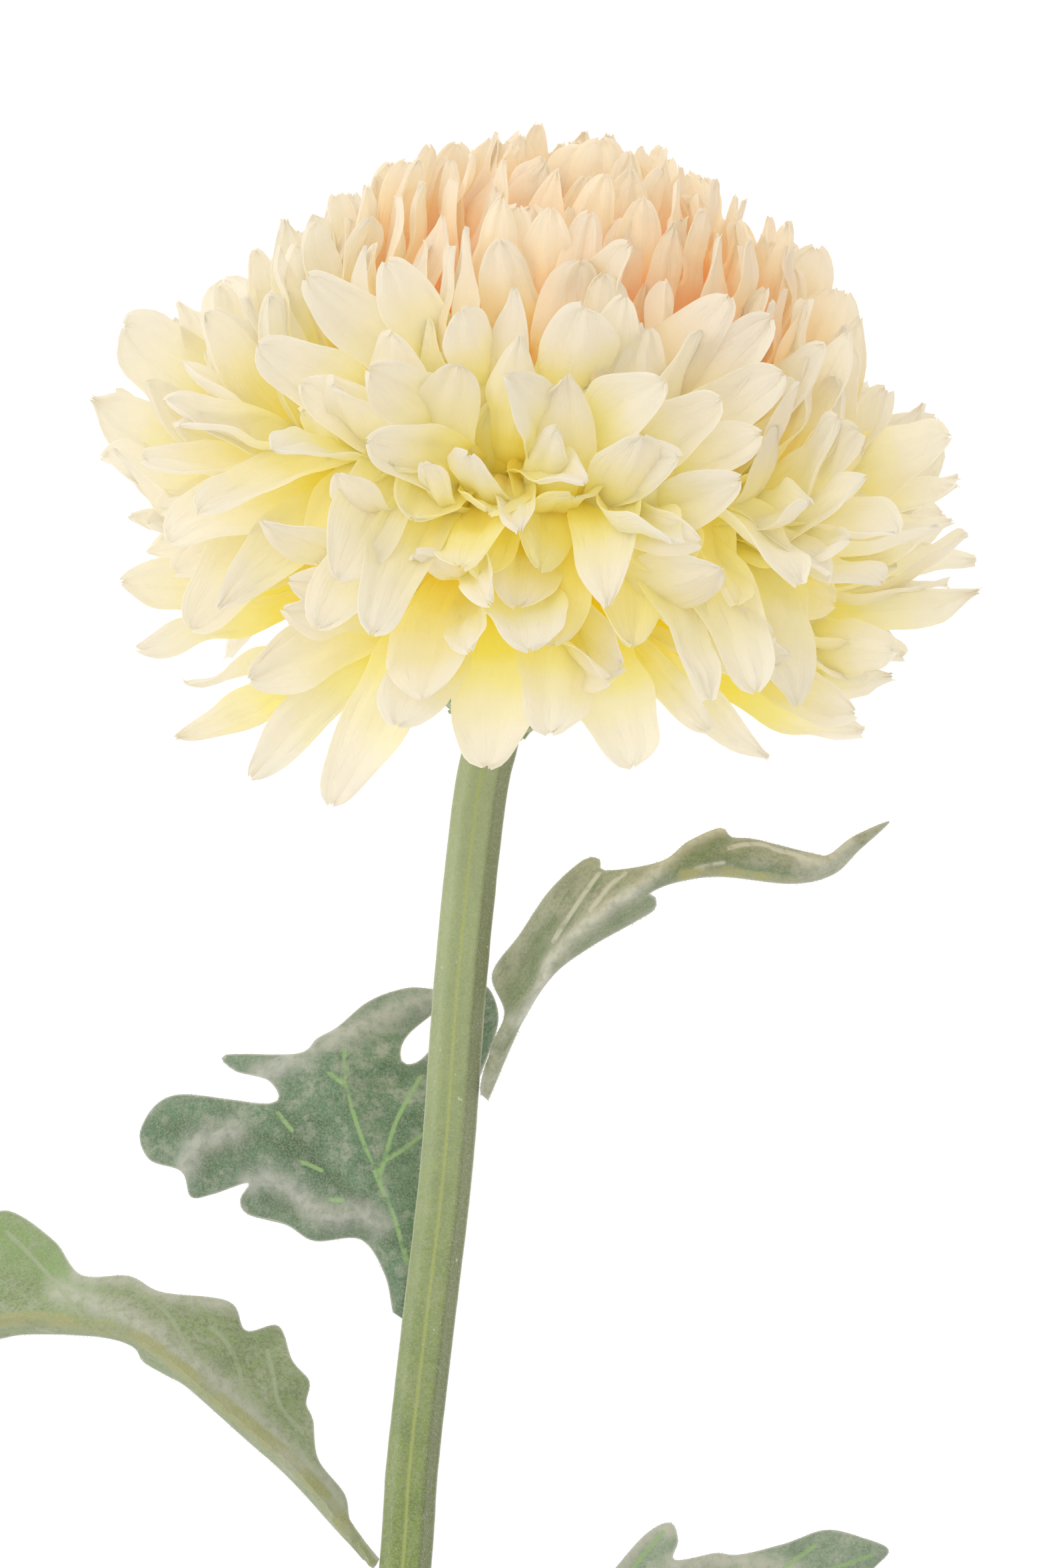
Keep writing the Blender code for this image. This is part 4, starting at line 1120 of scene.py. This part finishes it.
LEAF_B = {
    "midrib": ((-23.5, -143.2, 31.9), (-23.0, -134.4, 33.6), (-24.5, -125.9, 33.5), (-27.2, -118.7, 33),
               (-30.0, -112.6, 32), (-32.4, -106.1, 30.5), (-33.5, -101.2, 29), (-33.5, -96.3, 27.5),
               (-30.1, -88.1, 22)),
    "left": ((-25.0, -142.3), (-26.5, -135.4), (-30.7, -129.5), (-38.9, -129.9), (-44.0, -127.2),
             (-51.0, -125.6), (-52.4, -122.9), (-50.9, -119.9), (-57.4, -122.1), (-61.3, -122.6),
             (-62.9, -118.1), (-68.9, -116.0), (-70.4, -110.5), (-64.3, -104.7), (-46.8, -105.7),
             (-47.2, -101.8), (-53.5, -100.2), (-55.3, -97.5), (-42.2, -96.9), (-38.6, -94.2),
             (-35.0, -92.2)),
    "right": ((-22.6, -143.8), (-21.4, -134.4), (-17.3, -122.6), (-12.8, -108.4), (-8.4, -98.0),
              (-6.4, -90.9), (-8.2, -85.5), (-11.0, -86.5), (-19.1, -97.0), (-22.7, -98.7),
              (-23.8, -97.0), (-22.4, -93.6), (-15.3, -87.2), (-20.4, -85.4), (-25.2, -86.0)),
    "falls": (0.42, 0.40),
    "wave": 1.5,
    "stalk": 8,
    "under": (0, 1),
    "veins": (((-22.3, -133.7), (-24.6, -125.9), (-27.4, -119.2), (-29.9, -113.1), (-31.7, -108.2),
               (-33.0, -102.5), (-33.7, -96.1)),
              ((-27.4, -118.8), (-25.7, -112.4), (-24.0, -107.8), (-20.3, -101.1)),
              ((-26.6, -115.6), (-23.5, -113.7), (-19.6, -110.7)),
              ((-33.2, -102.5), (-36.3, -100.2)),
              ((-45.5, -107.4), (-42.9, -110.4)),
              ((-41.3, -115.9), (-39.6, -116.5), (-37.6, -117.4)),
              ((-35.9, -122.6), (-33.8, -122.6))),
    "ribs": (),
    "crests": (((-18.1, -87.6), (-24.6, -89.4), (-31.7, -92.9), (-37.3, -94.0), (-41.6, -96.8),
                (-46.6, -100.0), (-48.7, -100.7)),
               ((-53.6, -110.7), (-58.6, -112.1), (-61.1, -114.6), (-62.1, -117.4)),
               ((-27.4, -126.6), (-30.3, -124.8), (-34.5, -125.2), (-38.8, -124.5), (-43.0, -120.9),
                (-47.3, -119.2), (-50.5, -119.8))),
    "hollows": ((1.4, ((-28.1, -124.5), (-33.1, -120.9), (-38.4, -116.3), (-42.3, -111.4), (-45.1, -107.1))),
                (1.4, ((-38.4, -116.3), (-43.7, -113.5), (-50.1, -111.4), (-59.3, -110.7), (-65.0, -110.3))),
                (1.7, ((-24.6, -129.4), (-28.1, -127.2), (-34.5, -126.4), (-41.6, -123.6), (-47.3, -122.8))),
                (1.7, ((-50.1, -111.4), (-55.8, -113.8), (-58.9, -117.4)))),
    "crest_rise": 0.6,
    "crest_highlight_width": 2.2,
    "folds": (((-18.1, -87.6), (-48.7, -100.7), 0.9, 1.5),),
}
LEAF_C = {
    "midrib": ((-28.0, -187.2, 27.1), (-33.5, -180.2, 30), (-41.5, -170, 35), (-49.5, -162.6, 38),
               (-58, -155.1, 39), (-64.8, -149.4, 38), (-71.4, -145.6, 36), (-79.3, -144.2, 32),
               (-87.7, -143.6, 27), (-97, -144.5, 22), (-112, -150, 14)),
    "left": ((-28.6, -188.3), (-35.0, -181.5), (-44.0, -171.2), (-53.5, -162.4), (-61.0, -155.5),
             (-65.2, -153.6), (-69.4, -151.4), (-71.0, -148.4), (-77.5, -146.9), (-90.2, -147.3),
             (-97, -148.6), (-104.5, -149.4)),
    "right": ((-28.0, -186.0), (-32.4, -179.9), (-33.6, -174.7), (-38.2, -168.2), (-39.2, -161.6),
              (-40.4, -158.6), (-39.9, -154.8), (-42.9, -151.1), (-45.5, -145.2), (-51.1, -145.7),
              (-54.2, -140.6), (-65.9, -138.9), (-71.9, -136.1), (-80.6, -136.1), (-86.0, -130.5),
              (-94.9, -125.6), (-100.5, -129.5), (-101, -137.5), (-108.5, -142.5)),
    "falls": (3.4, 0.9),
    "wave": 0.8,
    "stalk": 12,
    "under": (1, 0),
    "veins": (((-41.1, -163.6), (-45.0, -158.7), (-46.2, -153.8), (-47.4, -149.4)),
              ((-51.4, -157.2), (-52.3, -152.3), (-54.3, -147.9), (-57.2, -145.0)),
              ((-60.2, -150.8), (-63.1, -145.0), (-67.0, -140.6), (-71.4, -138.1)),
              ((-80.0, -143.0), (-84.7, -138.3), (-91.5, -131.9), (-94.5, -129.4))),
    "ribs": (((-27.9, -186.1), (-33.2, -180.0), (-41.2, -169.9), (-49.2, -162.6), (-57.8, -155.2),
              (-64.8, -149.6), (-71.4, -145.8), (-79.3, -144.4), (-87.7, -143.8), (-97, -144.7)),),
    "crests": (((-32.8, -179.3), (-39.1, -170.9), (-47.4, -163.0), (-52.8, -157.2), (-60.2, -150.9),
                (-67.0, -145.9), (-71.0, -143.3), (-77.3, -141.0), (-84.7, -139.1)),
               ((-54.2, -140.6), (-65.9, -138.9), (-71.9, -136.1), (-80.6, -136.1))),
    "hollows": ((5.0, ((-98, -128.5), (-92, -131.5), (-86, -134.5), (-82, -138.5))),),
    "crest_rise": 0.5,
    "crest_highlight_width": 2.0,
    "folds": (),
}
LEAF_D = {
    "midrib": ((-20.1, -213.9, 21.9), (-8, -211, 26), (6, -206.5, 30), (20, -201, 31.5), (34, -195.5, 30),
               (48, -190, 26), (63.3, -185.6, 19)),
    "left": ((-20.0, -212.9), (-8, -209.6), (0.5, -206.0), (5.5, -198.5), (14.3, -188.3), (20.4, -182.0),
             (24.4, -180.4), (25.6, -183.4), (24.9, -186.6), (31.9, -185.6), (36.4, -185.9),
             (44.2, -184.1), (51.9, -181.9), (58.5, -183.4)),
    "right": ((-19.9, -214.9), (-8, -212.6), (2, -213.5), (10, -213.5), (15, -211), (19, -214.5),
              (27, -212), (31.5, -207), (34, -203), (40, -204.5), (46, -201.5), (48.5, -196.5),
              (54.5, -195), (60.5, -189)),
    "falls": (0.5, 0.55),
    "wave": 1.2,
    "stalk": 14,
    "under": (0, 1),
    "veins": (((-8, -211), (6, -206.5), (20, -201), (34, -195.5), (48, -190), (60, -186.5)),
              ((4, -207), (12, -197), (18, -188), (23, -182)),
              ((22, -200), (30, -192), (36, -188)),
              ((36, -194.6), (44, -188.5), (50, -184.5)),
              ((12, -204), (18, -208), (24, -211)),
              ((30, -197), (37, -200), (42, -203))),
    "ribs": (),
    "crests": (((5.5, -198.5), (14.3, -188.3), (20.4, -182.0), (24.4, -181.4)),
               ((24.9, -187.4), (31.9, -187), (38, -187.4), (46, -189))),
    "hollows": (),
    "crest_rise": 0.5,
    "crest_highlight_width": 2.0,
    "folds": (),
}
BLADE_HALF = 0.24
STALK_RADIUS = 1.15
STALK_RADIUS_AT_TIP = 0.55
RIB_ROUNDING = 1.2
WAVE_LENGTH = 17
WAVE_OFFSET = 2.0
WAVES_FROM_RIB = (2, 12)
STALK_RUN = 10
RIM_THINNESS_OF_BLADE = 0.35
RIM_RUN = 0.5
RIB_SHARE_BELOW = 0.75
RIB_SHARE_ABOVE = 0.15
# How strong and how wide the painted highlight along a blade's rim is
RIM_HIGHLIGHT = 0.15
RIM_HIGHLIGHT_WIDTH = 1.2
LEAF_STEP = 0.85
LEAF_HAIRS = 3000
RIM_HAIR_SHARE = 0.35
UPPER_HAIR_SHARE = 0.6

# A blade's bumps: scale, layer and height, then how deep its veins are sunk
BUMPS = ((0.11, 6.0, 0.9), (0.35, 5.0, 0.30))
VEIN_DEPTH = 0.30
VEIN_WIDTH = 0.7
CREST_WIDTH = 1.2

# Spacing of a blade's spots on its edge, its lines and its rows, and the room between them
EDGE_STEP = LEAF_STEP * 0.8
LINE_STEP = LEAF_STEP * 0.7
ROW_STEP = LEAF_STEP * 0.87
GRID_ROOM = LEAF_STEP * 0.45
LINE_ROOM = LEAF_STEP * 0.4
EDGE_ROOM = 0.3
MASK_STEP = 0.8


def inside(spots, outline):
    """Whether each spot lies within a closed outline."""
    x, y = spots[:, 0][:, None], spots[:, 1][:, None]
    start = outline[None, :, :]
    end = np.roll(outline, -1, axis=0)[None, :, :]
    spans = (start[..., 1] > y) != (end[..., 1] > y)
    run = np.where(end[..., 1] == start[..., 1], 1e-9, end[..., 1] - start[..., 1])
    crossing = start[..., 0] + (y - start[..., 1]) / run * (end[..., 0] - start[..., 0])
    return (spans & (x < crossing)).sum(axis=1) % 2 == 1


def nearest_on(spots, line, closed=False):
    """Each spot's distance to a line, the nearest segment, the share along it, and its side."""
    start = line if closed else line[:-1]
    end = np.roll(line, -1, axis=0) if closed else line[1:]
    run = (end - start)[None, :, :2]
    off = spots[:, None, :2] - start[None, :, :2]
    share = np.clip((off * run).sum(axis=2) / np.maximum((run * run).sum(axis=2), 1e-9), 0, 1)
    gap = off - run * share[..., None]
    distance = np.hypot(gap[..., 0], gap[..., 1])
    nearest = distance.argmin(axis=1)
    pick = np.arange(len(spots))
    side = run[0, nearest, 0] * off[pick, nearest, 1] - run[0, nearest, 1] * off[pick, nearest, 0]
    return distance[pick, nearest], nearest, share[pick, nearest], side > 0


def distance_to(spots, lines):
    """Each spot's distance to the nearest of several lines, up to one at which no line shows."""
    best = np.full(len(spots), FAR_OFF)
    for line in lines:
        best = np.minimum(best, nearest_on(spots, smooth_line(line, MASK_STEP))[0])
    return best


def near(distance, width):
    """1 on a line and less the further away, for a line of about that width."""
    return np.exp(-(distance / width) ** 2)


def leaf_spots(leaf, midrib):
    """Spots all over a leaf seen from above, and the triangles between them."""
    left = np.array(leaf["left"])
    right = np.array(leaf["right"])
    edge = smooth_line(np.concatenate((left, [midrib[-1, :2]], right[::-1])), EDGE_STEP)
    low = edge.min(axis=0)
    high = edge.max(axis=0)
    grid = []
    for number, y in enumerate(np.arange(low[1], high[1], ROW_STEP)):
        for x in np.arange(low[0] + (number % 2) * LEAF_STEP / 2, high[0], LEAF_STEP):
            grid.append((x, y))
    grid = np.array(grid)
    keep = inside(grid, edge) & (nearest_on(grid, edge, True)[0] > GRID_ROOM)
    drawn = []
    lines = [smooth_line(line, LINE_STEP) for line in leaf["ribs"] + leaf["veins"]]
    for line in [midrib[1:-1, :2]] + lines:
        clear = inside(line, edge) & (nearest_on(line, edge, True)[0] > EDGE_ROOM)
        for earlier in drawn:
            clear &= nearest_on(line, earlier)[0] > LINE_ROOM
        keep &= nearest_on(grid, line)[0] > GRID_ROOM
        if clear.sum() > 1:
            drawn.append(line[clear])
    spots = np.concatenate((edge, *drawn, grid[keep]))
    corners = len(edge)
    edges = [(corner, (corner + 1) % corners) for corner in range(corners)]
    made = delaunay_2d_cdt([Vector(spot) for spot in spots], edges, [], 1, 1e-6)
    return np.array([tuple(spot) for spot in made[0]]), made[2], edge


def leaf_height(leaf, midrib, spots):
    """Height of a leaf's middle surface: it falls from the rib, waves, folds and puckers."""
    off, nearest, share, on_left = nearest_on(spots, midrib)
    lengths = np.hypot(*np.diff(midrib[:, :2], axis=0).T)
    travelled = np.concatenate(([0], np.cumsum(lengths)))[nearest] + share * lengths[nearest]
    height = mix(midrib[nearest, 2], midrib[nearest + 1, 2], share)
    fall = np.where(on_left, *leaf["falls"])
    height = height - fall * (np.hypot(off, RIB_ROUNDING) - RIB_ROUNDING)
    turn = 2 * math.pi * travelled / WAVE_LENGTH + np.where(on_left, 0, WAVE_OFFSET)
    height = height + leaf["wave"] * smooth_step(off, *WAVES_FROM_RIB) * np.sin(turn)
    for start, end, slope, rounding in leaf["folds"]:
        run = np.array(end) - np.array(start)
        run = run / np.hypot(*run)
        beyond = -(run[0] * (spots[:, 1] - start[1]) - run[1] * (spots[:, 0] - start[0]))
        height = height - slope * rounding * np.log1p(np.exp(np.clip(beyond / rounding, -20, 20)))
    return height, off, travelled


def surface_normals(points, faces):
    """Directions square to a surface of triangles at each point, upwards."""
    cross = np.cross(points[faces[:, 1]] - points[faces[:, 0]], points[faces[:, 2]] - points[faces[:, 0]])
    normal = np.zeros_like(points)
    for corner in range(3):
        np.add.at(normal, faces[:, corner], cross)
    return unit(normal * np.sign(cross[:, 2].sum()))


def closed_faces(faces, count):
    """Triangles of a surface, the same ones turned over below it, and a rim between them."""
    solid = [tuple(face) for face in faces] + [tuple(face[::-1] + count) for face in faces]
    borders = set()
    for face in faces.tolist():
        borders.update(zip(face, face[1:] + face[:1]))
    for start, end in sorted(borders):
        if (end, start) not in borders:
            solid.append((start, start + count, end + count, end))
    return solid


def make_leaf(name, leaf, material):
    """A lobed blade of two close faces, with its veins, rib and petiole in relief, and its hairs."""
    midrib = smooth_line(leaf["midrib"], LEAF_STEP)
    spots, triangles, edge = leaf_spots(leaf, midrib)
    height, off, travelled = leaf_height(leaf, midrib, spots)
    vein = distance_to(spots, leaf["veins"])
    crest = distance_to(spots, leaf["crests"])
    rib = distance_to(spots, leaf["ribs"])
    rim = nearest_on(spots, edge, True)[0]
    blade = smooth_step(travelled, leaf["stalk"], leaf["stalk"] + STALK_RUN)
    bumps = np.array([sum(noise.noise(Vector((x * scale, y * scale, layer))) * rise
                          for scale, layer, rise in BUMPS) for x, y in spots])
    relief = bumps - VEIN_DEPTH * near(vein, VEIN_WIDTH) + leaf["crest_rise"] * near(crest, CREST_WIDTH)
    middle = np.column_stack((spots, height + blade * relief))

    faces = np.array(triangles)
    normal = surface_normals(middle, faces)
    bulge = mix(STALK_RADIUS, STALK_RADIUS_AT_TIP, blade)
    round_rib = np.sqrt(np.clip(bulge ** 2 - off ** 2, 0, None))
    thin = BLADE_HALF * mix(RIM_THINNESS_OF_BLADE, 1.0, smooth_step(rim, 0.0, RIM_RUN))
    shown = RIB_SHARE_BELOW if leaf["under"][0] else RIB_SHARE_ABOVE
    up_half = np.maximum(thin, round_rib * mix(1.0, shown, blade))
    down_half = np.maximum(thin, round_rib)
    top = (middle + normal * up_half[:, None]) * MM
    bottom = (middle - normal * down_half[:, None]) * MM

    count = len(spots)
    # Painted highlight on the crests, and a weaker one along the rim
    crest_and_rim_highlight = np.clip(near(crest, leaf["crest_highlight_width"]) + RIM_HIGHLIGHT * near(rim, RIM_HIGHLIGHT_WIDTH), 0, 1)
    # Painted shade along the hollows' lines; on leaf C a fresh green patch
    hollow_shade_and_green_patch = np.zeros(count)
    for width, line in leaf["hollows"]:
        hollow_shade_and_green_patch = np.maximum(hollow_shade_and_green_patch, near(distance_to(spots, (line,)), width))
    both = {"vein": vein, "rib": rib, "rim": rim, "crest_and_rim_highlight": crest_and_rim_highlight, "hollow_shade_and_green_patch": hollow_shade_and_green_patch}
    attributes = {key: np.tile(values, 2) for key, values in both.items()}
    attributes["under"] = np.repeat(leaf["under"], count)
    points = np.concatenate((top, bottom))
    made = mesh_object(name + "_blade", points, closed_faces(faces, count), material, attributes)
    place_piece(made, name)

    draw = random.Random(name)
    roots = []
    ways = []
    for _ in range(LEAF_HAIRS):
        spot = draw.randrange(len(edge)) if draw.random() < RIM_HAIR_SHARE else draw.randrange(count)
        upper = draw.random() < UPPER_HAIR_SHARE
        roots.append((top if upper else bottom)[spot] / MM)
        ways.append(normal[spot] * (1 if upper else -1))
    place_piece(hair_object(name + "_hairs", draw, roots, ways), name)


VEIN_GREEN = (0.152, 0.288, 0.076)
RIB_YELLOW = (0.200, 0.208, 0.064)

# Each leaf's colours: face, back, vein, rib, the painted highlight on its crests, and the painted shade in
# its hollows (on leaf C a fresh green patch)
LEAVES = (
    ("leaf_a", LEAF_A, ((0.228, 0.242, 0.130), (0.20, 0.225, 0.12), (0.48, 0.46, 0.34),
                        (0.24, 0.23, 0.060), (0.54, 0.52, 0.40), (0.058, 0.102, 0.026))),
    ("leaf_b", LEAF_B, ((0.053, 0.112, 0.048), (0.14, 0.175, 0.10), VEIN_GREEN,
                        RIB_YELLOW, (0.31, 0.31, 0.245), (0.026, 0.056, 0.019))),
    ("leaf_c", LEAF_C, ((0.095, 0.150, 0.050), (0.138, 0.186, 0.064), (0.20, 0.245, 0.12),
                        RIB_YELLOW, (0.33, 0.33, 0.24), (0.112, 0.200, 0.046))),
    ("leaf_d", LEAF_D, ((0.125, 0.192, 0.100), (0.18, 0.20, 0.13), VEIN_GREEN,
                        RIB_YELLOW, PALE_PILE_AND_SHEEN, (0.07, 0.11, 0.06))),
)


def make_leaves():
    for name, leaf, colours in LEAVES:
        make_leaf(name, leaf, leaf_material(name + "_flock", *colours))


# Floor, light and camera

PICTURE_HEIGHT = 2352
PICTURE_SCALE = 0.11485 * MM
CAMERA_DISTANCE = 1.3
CAMERA_OVER = (-2.07 * MM, -48.9 * MM)
SENSOR = 36.0
VIEW_GAMMA = 1.5

# How near another surface must be to hold back the studio's fill light
FILL_REACH = 2.5 * MM
FILL_STRENGTH = 2.6
FILL_FROM_BOUNCE = 2
DIFFUSE_BOUNCES = 8

# The room's even light, and how much weaker it is from the right than from the middle
ROOM_LIGHT = 0.85
ROOM_FALL = 0.27

# The floor gives off light of its own, so that the ground is white
FLOOR_HALF = 6.0
FLOOR_GLOW = 0.68

# Each lamp's place, target, size and power
LAMPS = {
    "overhead": ((-0.10, 0.10, 1.95), (0, -0.05, 0.05), 1.4, 7),
    "key": ((-0.95, 0.60, 1.00), (0, 0, 0.06), 0.9, 5.4),
}


def make_floor():
    mesh = bpy.data.meshes.new("floor")
    corners = [(x * FLOOR_HALF, y * FLOOR_HALF, 0) for x, y in ((-1, -1), (1, -1), (1, 1), (-1, 1))]
    mesh.from_pydata(corners, [], [(0, 1, 2, 3)])
    n = Nodes(new_material("floor_white"))
    mesh.materials.append(n.finish(n.shader("Principled", {
        "Base Color": (0.5, 0.5, 0.5, 1), "Roughness": 0.9, "Specular IOR Level": 0.0,
        "Emission Color": (1, 1, 1, 1), "Emission Strength": FLOOR_GLOW,
    })))
    made = new_object("floor", mesh)


def make_lights():
    world = bpy.data.worlds.new("studio")
    bpy.context.scene.world = world
    world.use_nodes = True
    n = Nodes(world)
    across = n.part(n.coordinate("Generated"), "X")
    strength = n.math("ADD", n.math("MULTIPLY", across, -ROOM_FALL), ROOM_LIGHT)
    n.fill(world.node_tree.nodes["Background"], {"Color": (1, 1, 1, 1), "Strength": strength})
    for name, (place, target, size, power) in LAMPS.items():
        lamp = bpy.data.lights.new(name, "AREA")
        lamp.shape = "DISK"
        lamp.size = size
        lamp.energy = power
        made = new_object(name, lamp)
        made.location = place
        made.rotation_euler = (Vector(target) - Vector(place)).to_track_quat("-Z", "Y").to_euler()


def make_camera():
    lens = bpy.data.cameras.new("camera")
    lens.sensor_width = SENSOR
    lens.sensor_fit = "AUTO"
    lens.lens = SENSOR * CAMERA_DISTANCE / (PICTURE_HEIGHT * PICTURE_SCALE)
    made = new_object("camera", lens)
    made.location = (*CAMERA_OVER, HEART[2] + CAMERA_DISTANCE)
    bpy.context.scene.camera = made


make_camera()
make_floor()
make_lights()
make_bloom()
flocked_green = stem_material()
make_stem(flocked_green)
make_calyx(flocked_green)
make_leaves()

scene = bpy.context.scene
scene.view_settings.view_transform = "Standard"
scene.view_settings.gamma = VIEW_GAMMA
scene.cycles.diffuse_bounces = DIFFUSE_BOUNCES
scene.cycles.use_fast_gi = True
scene.cycles.fast_gi_method = "REPLACE"
scene.cycles.ao_bounces_render = FILL_FROM_BOUNCE
scene.world.light_settings.distance = FILL_REACH
scene.world.light_settings.ao_factor = FILL_STRENGTH
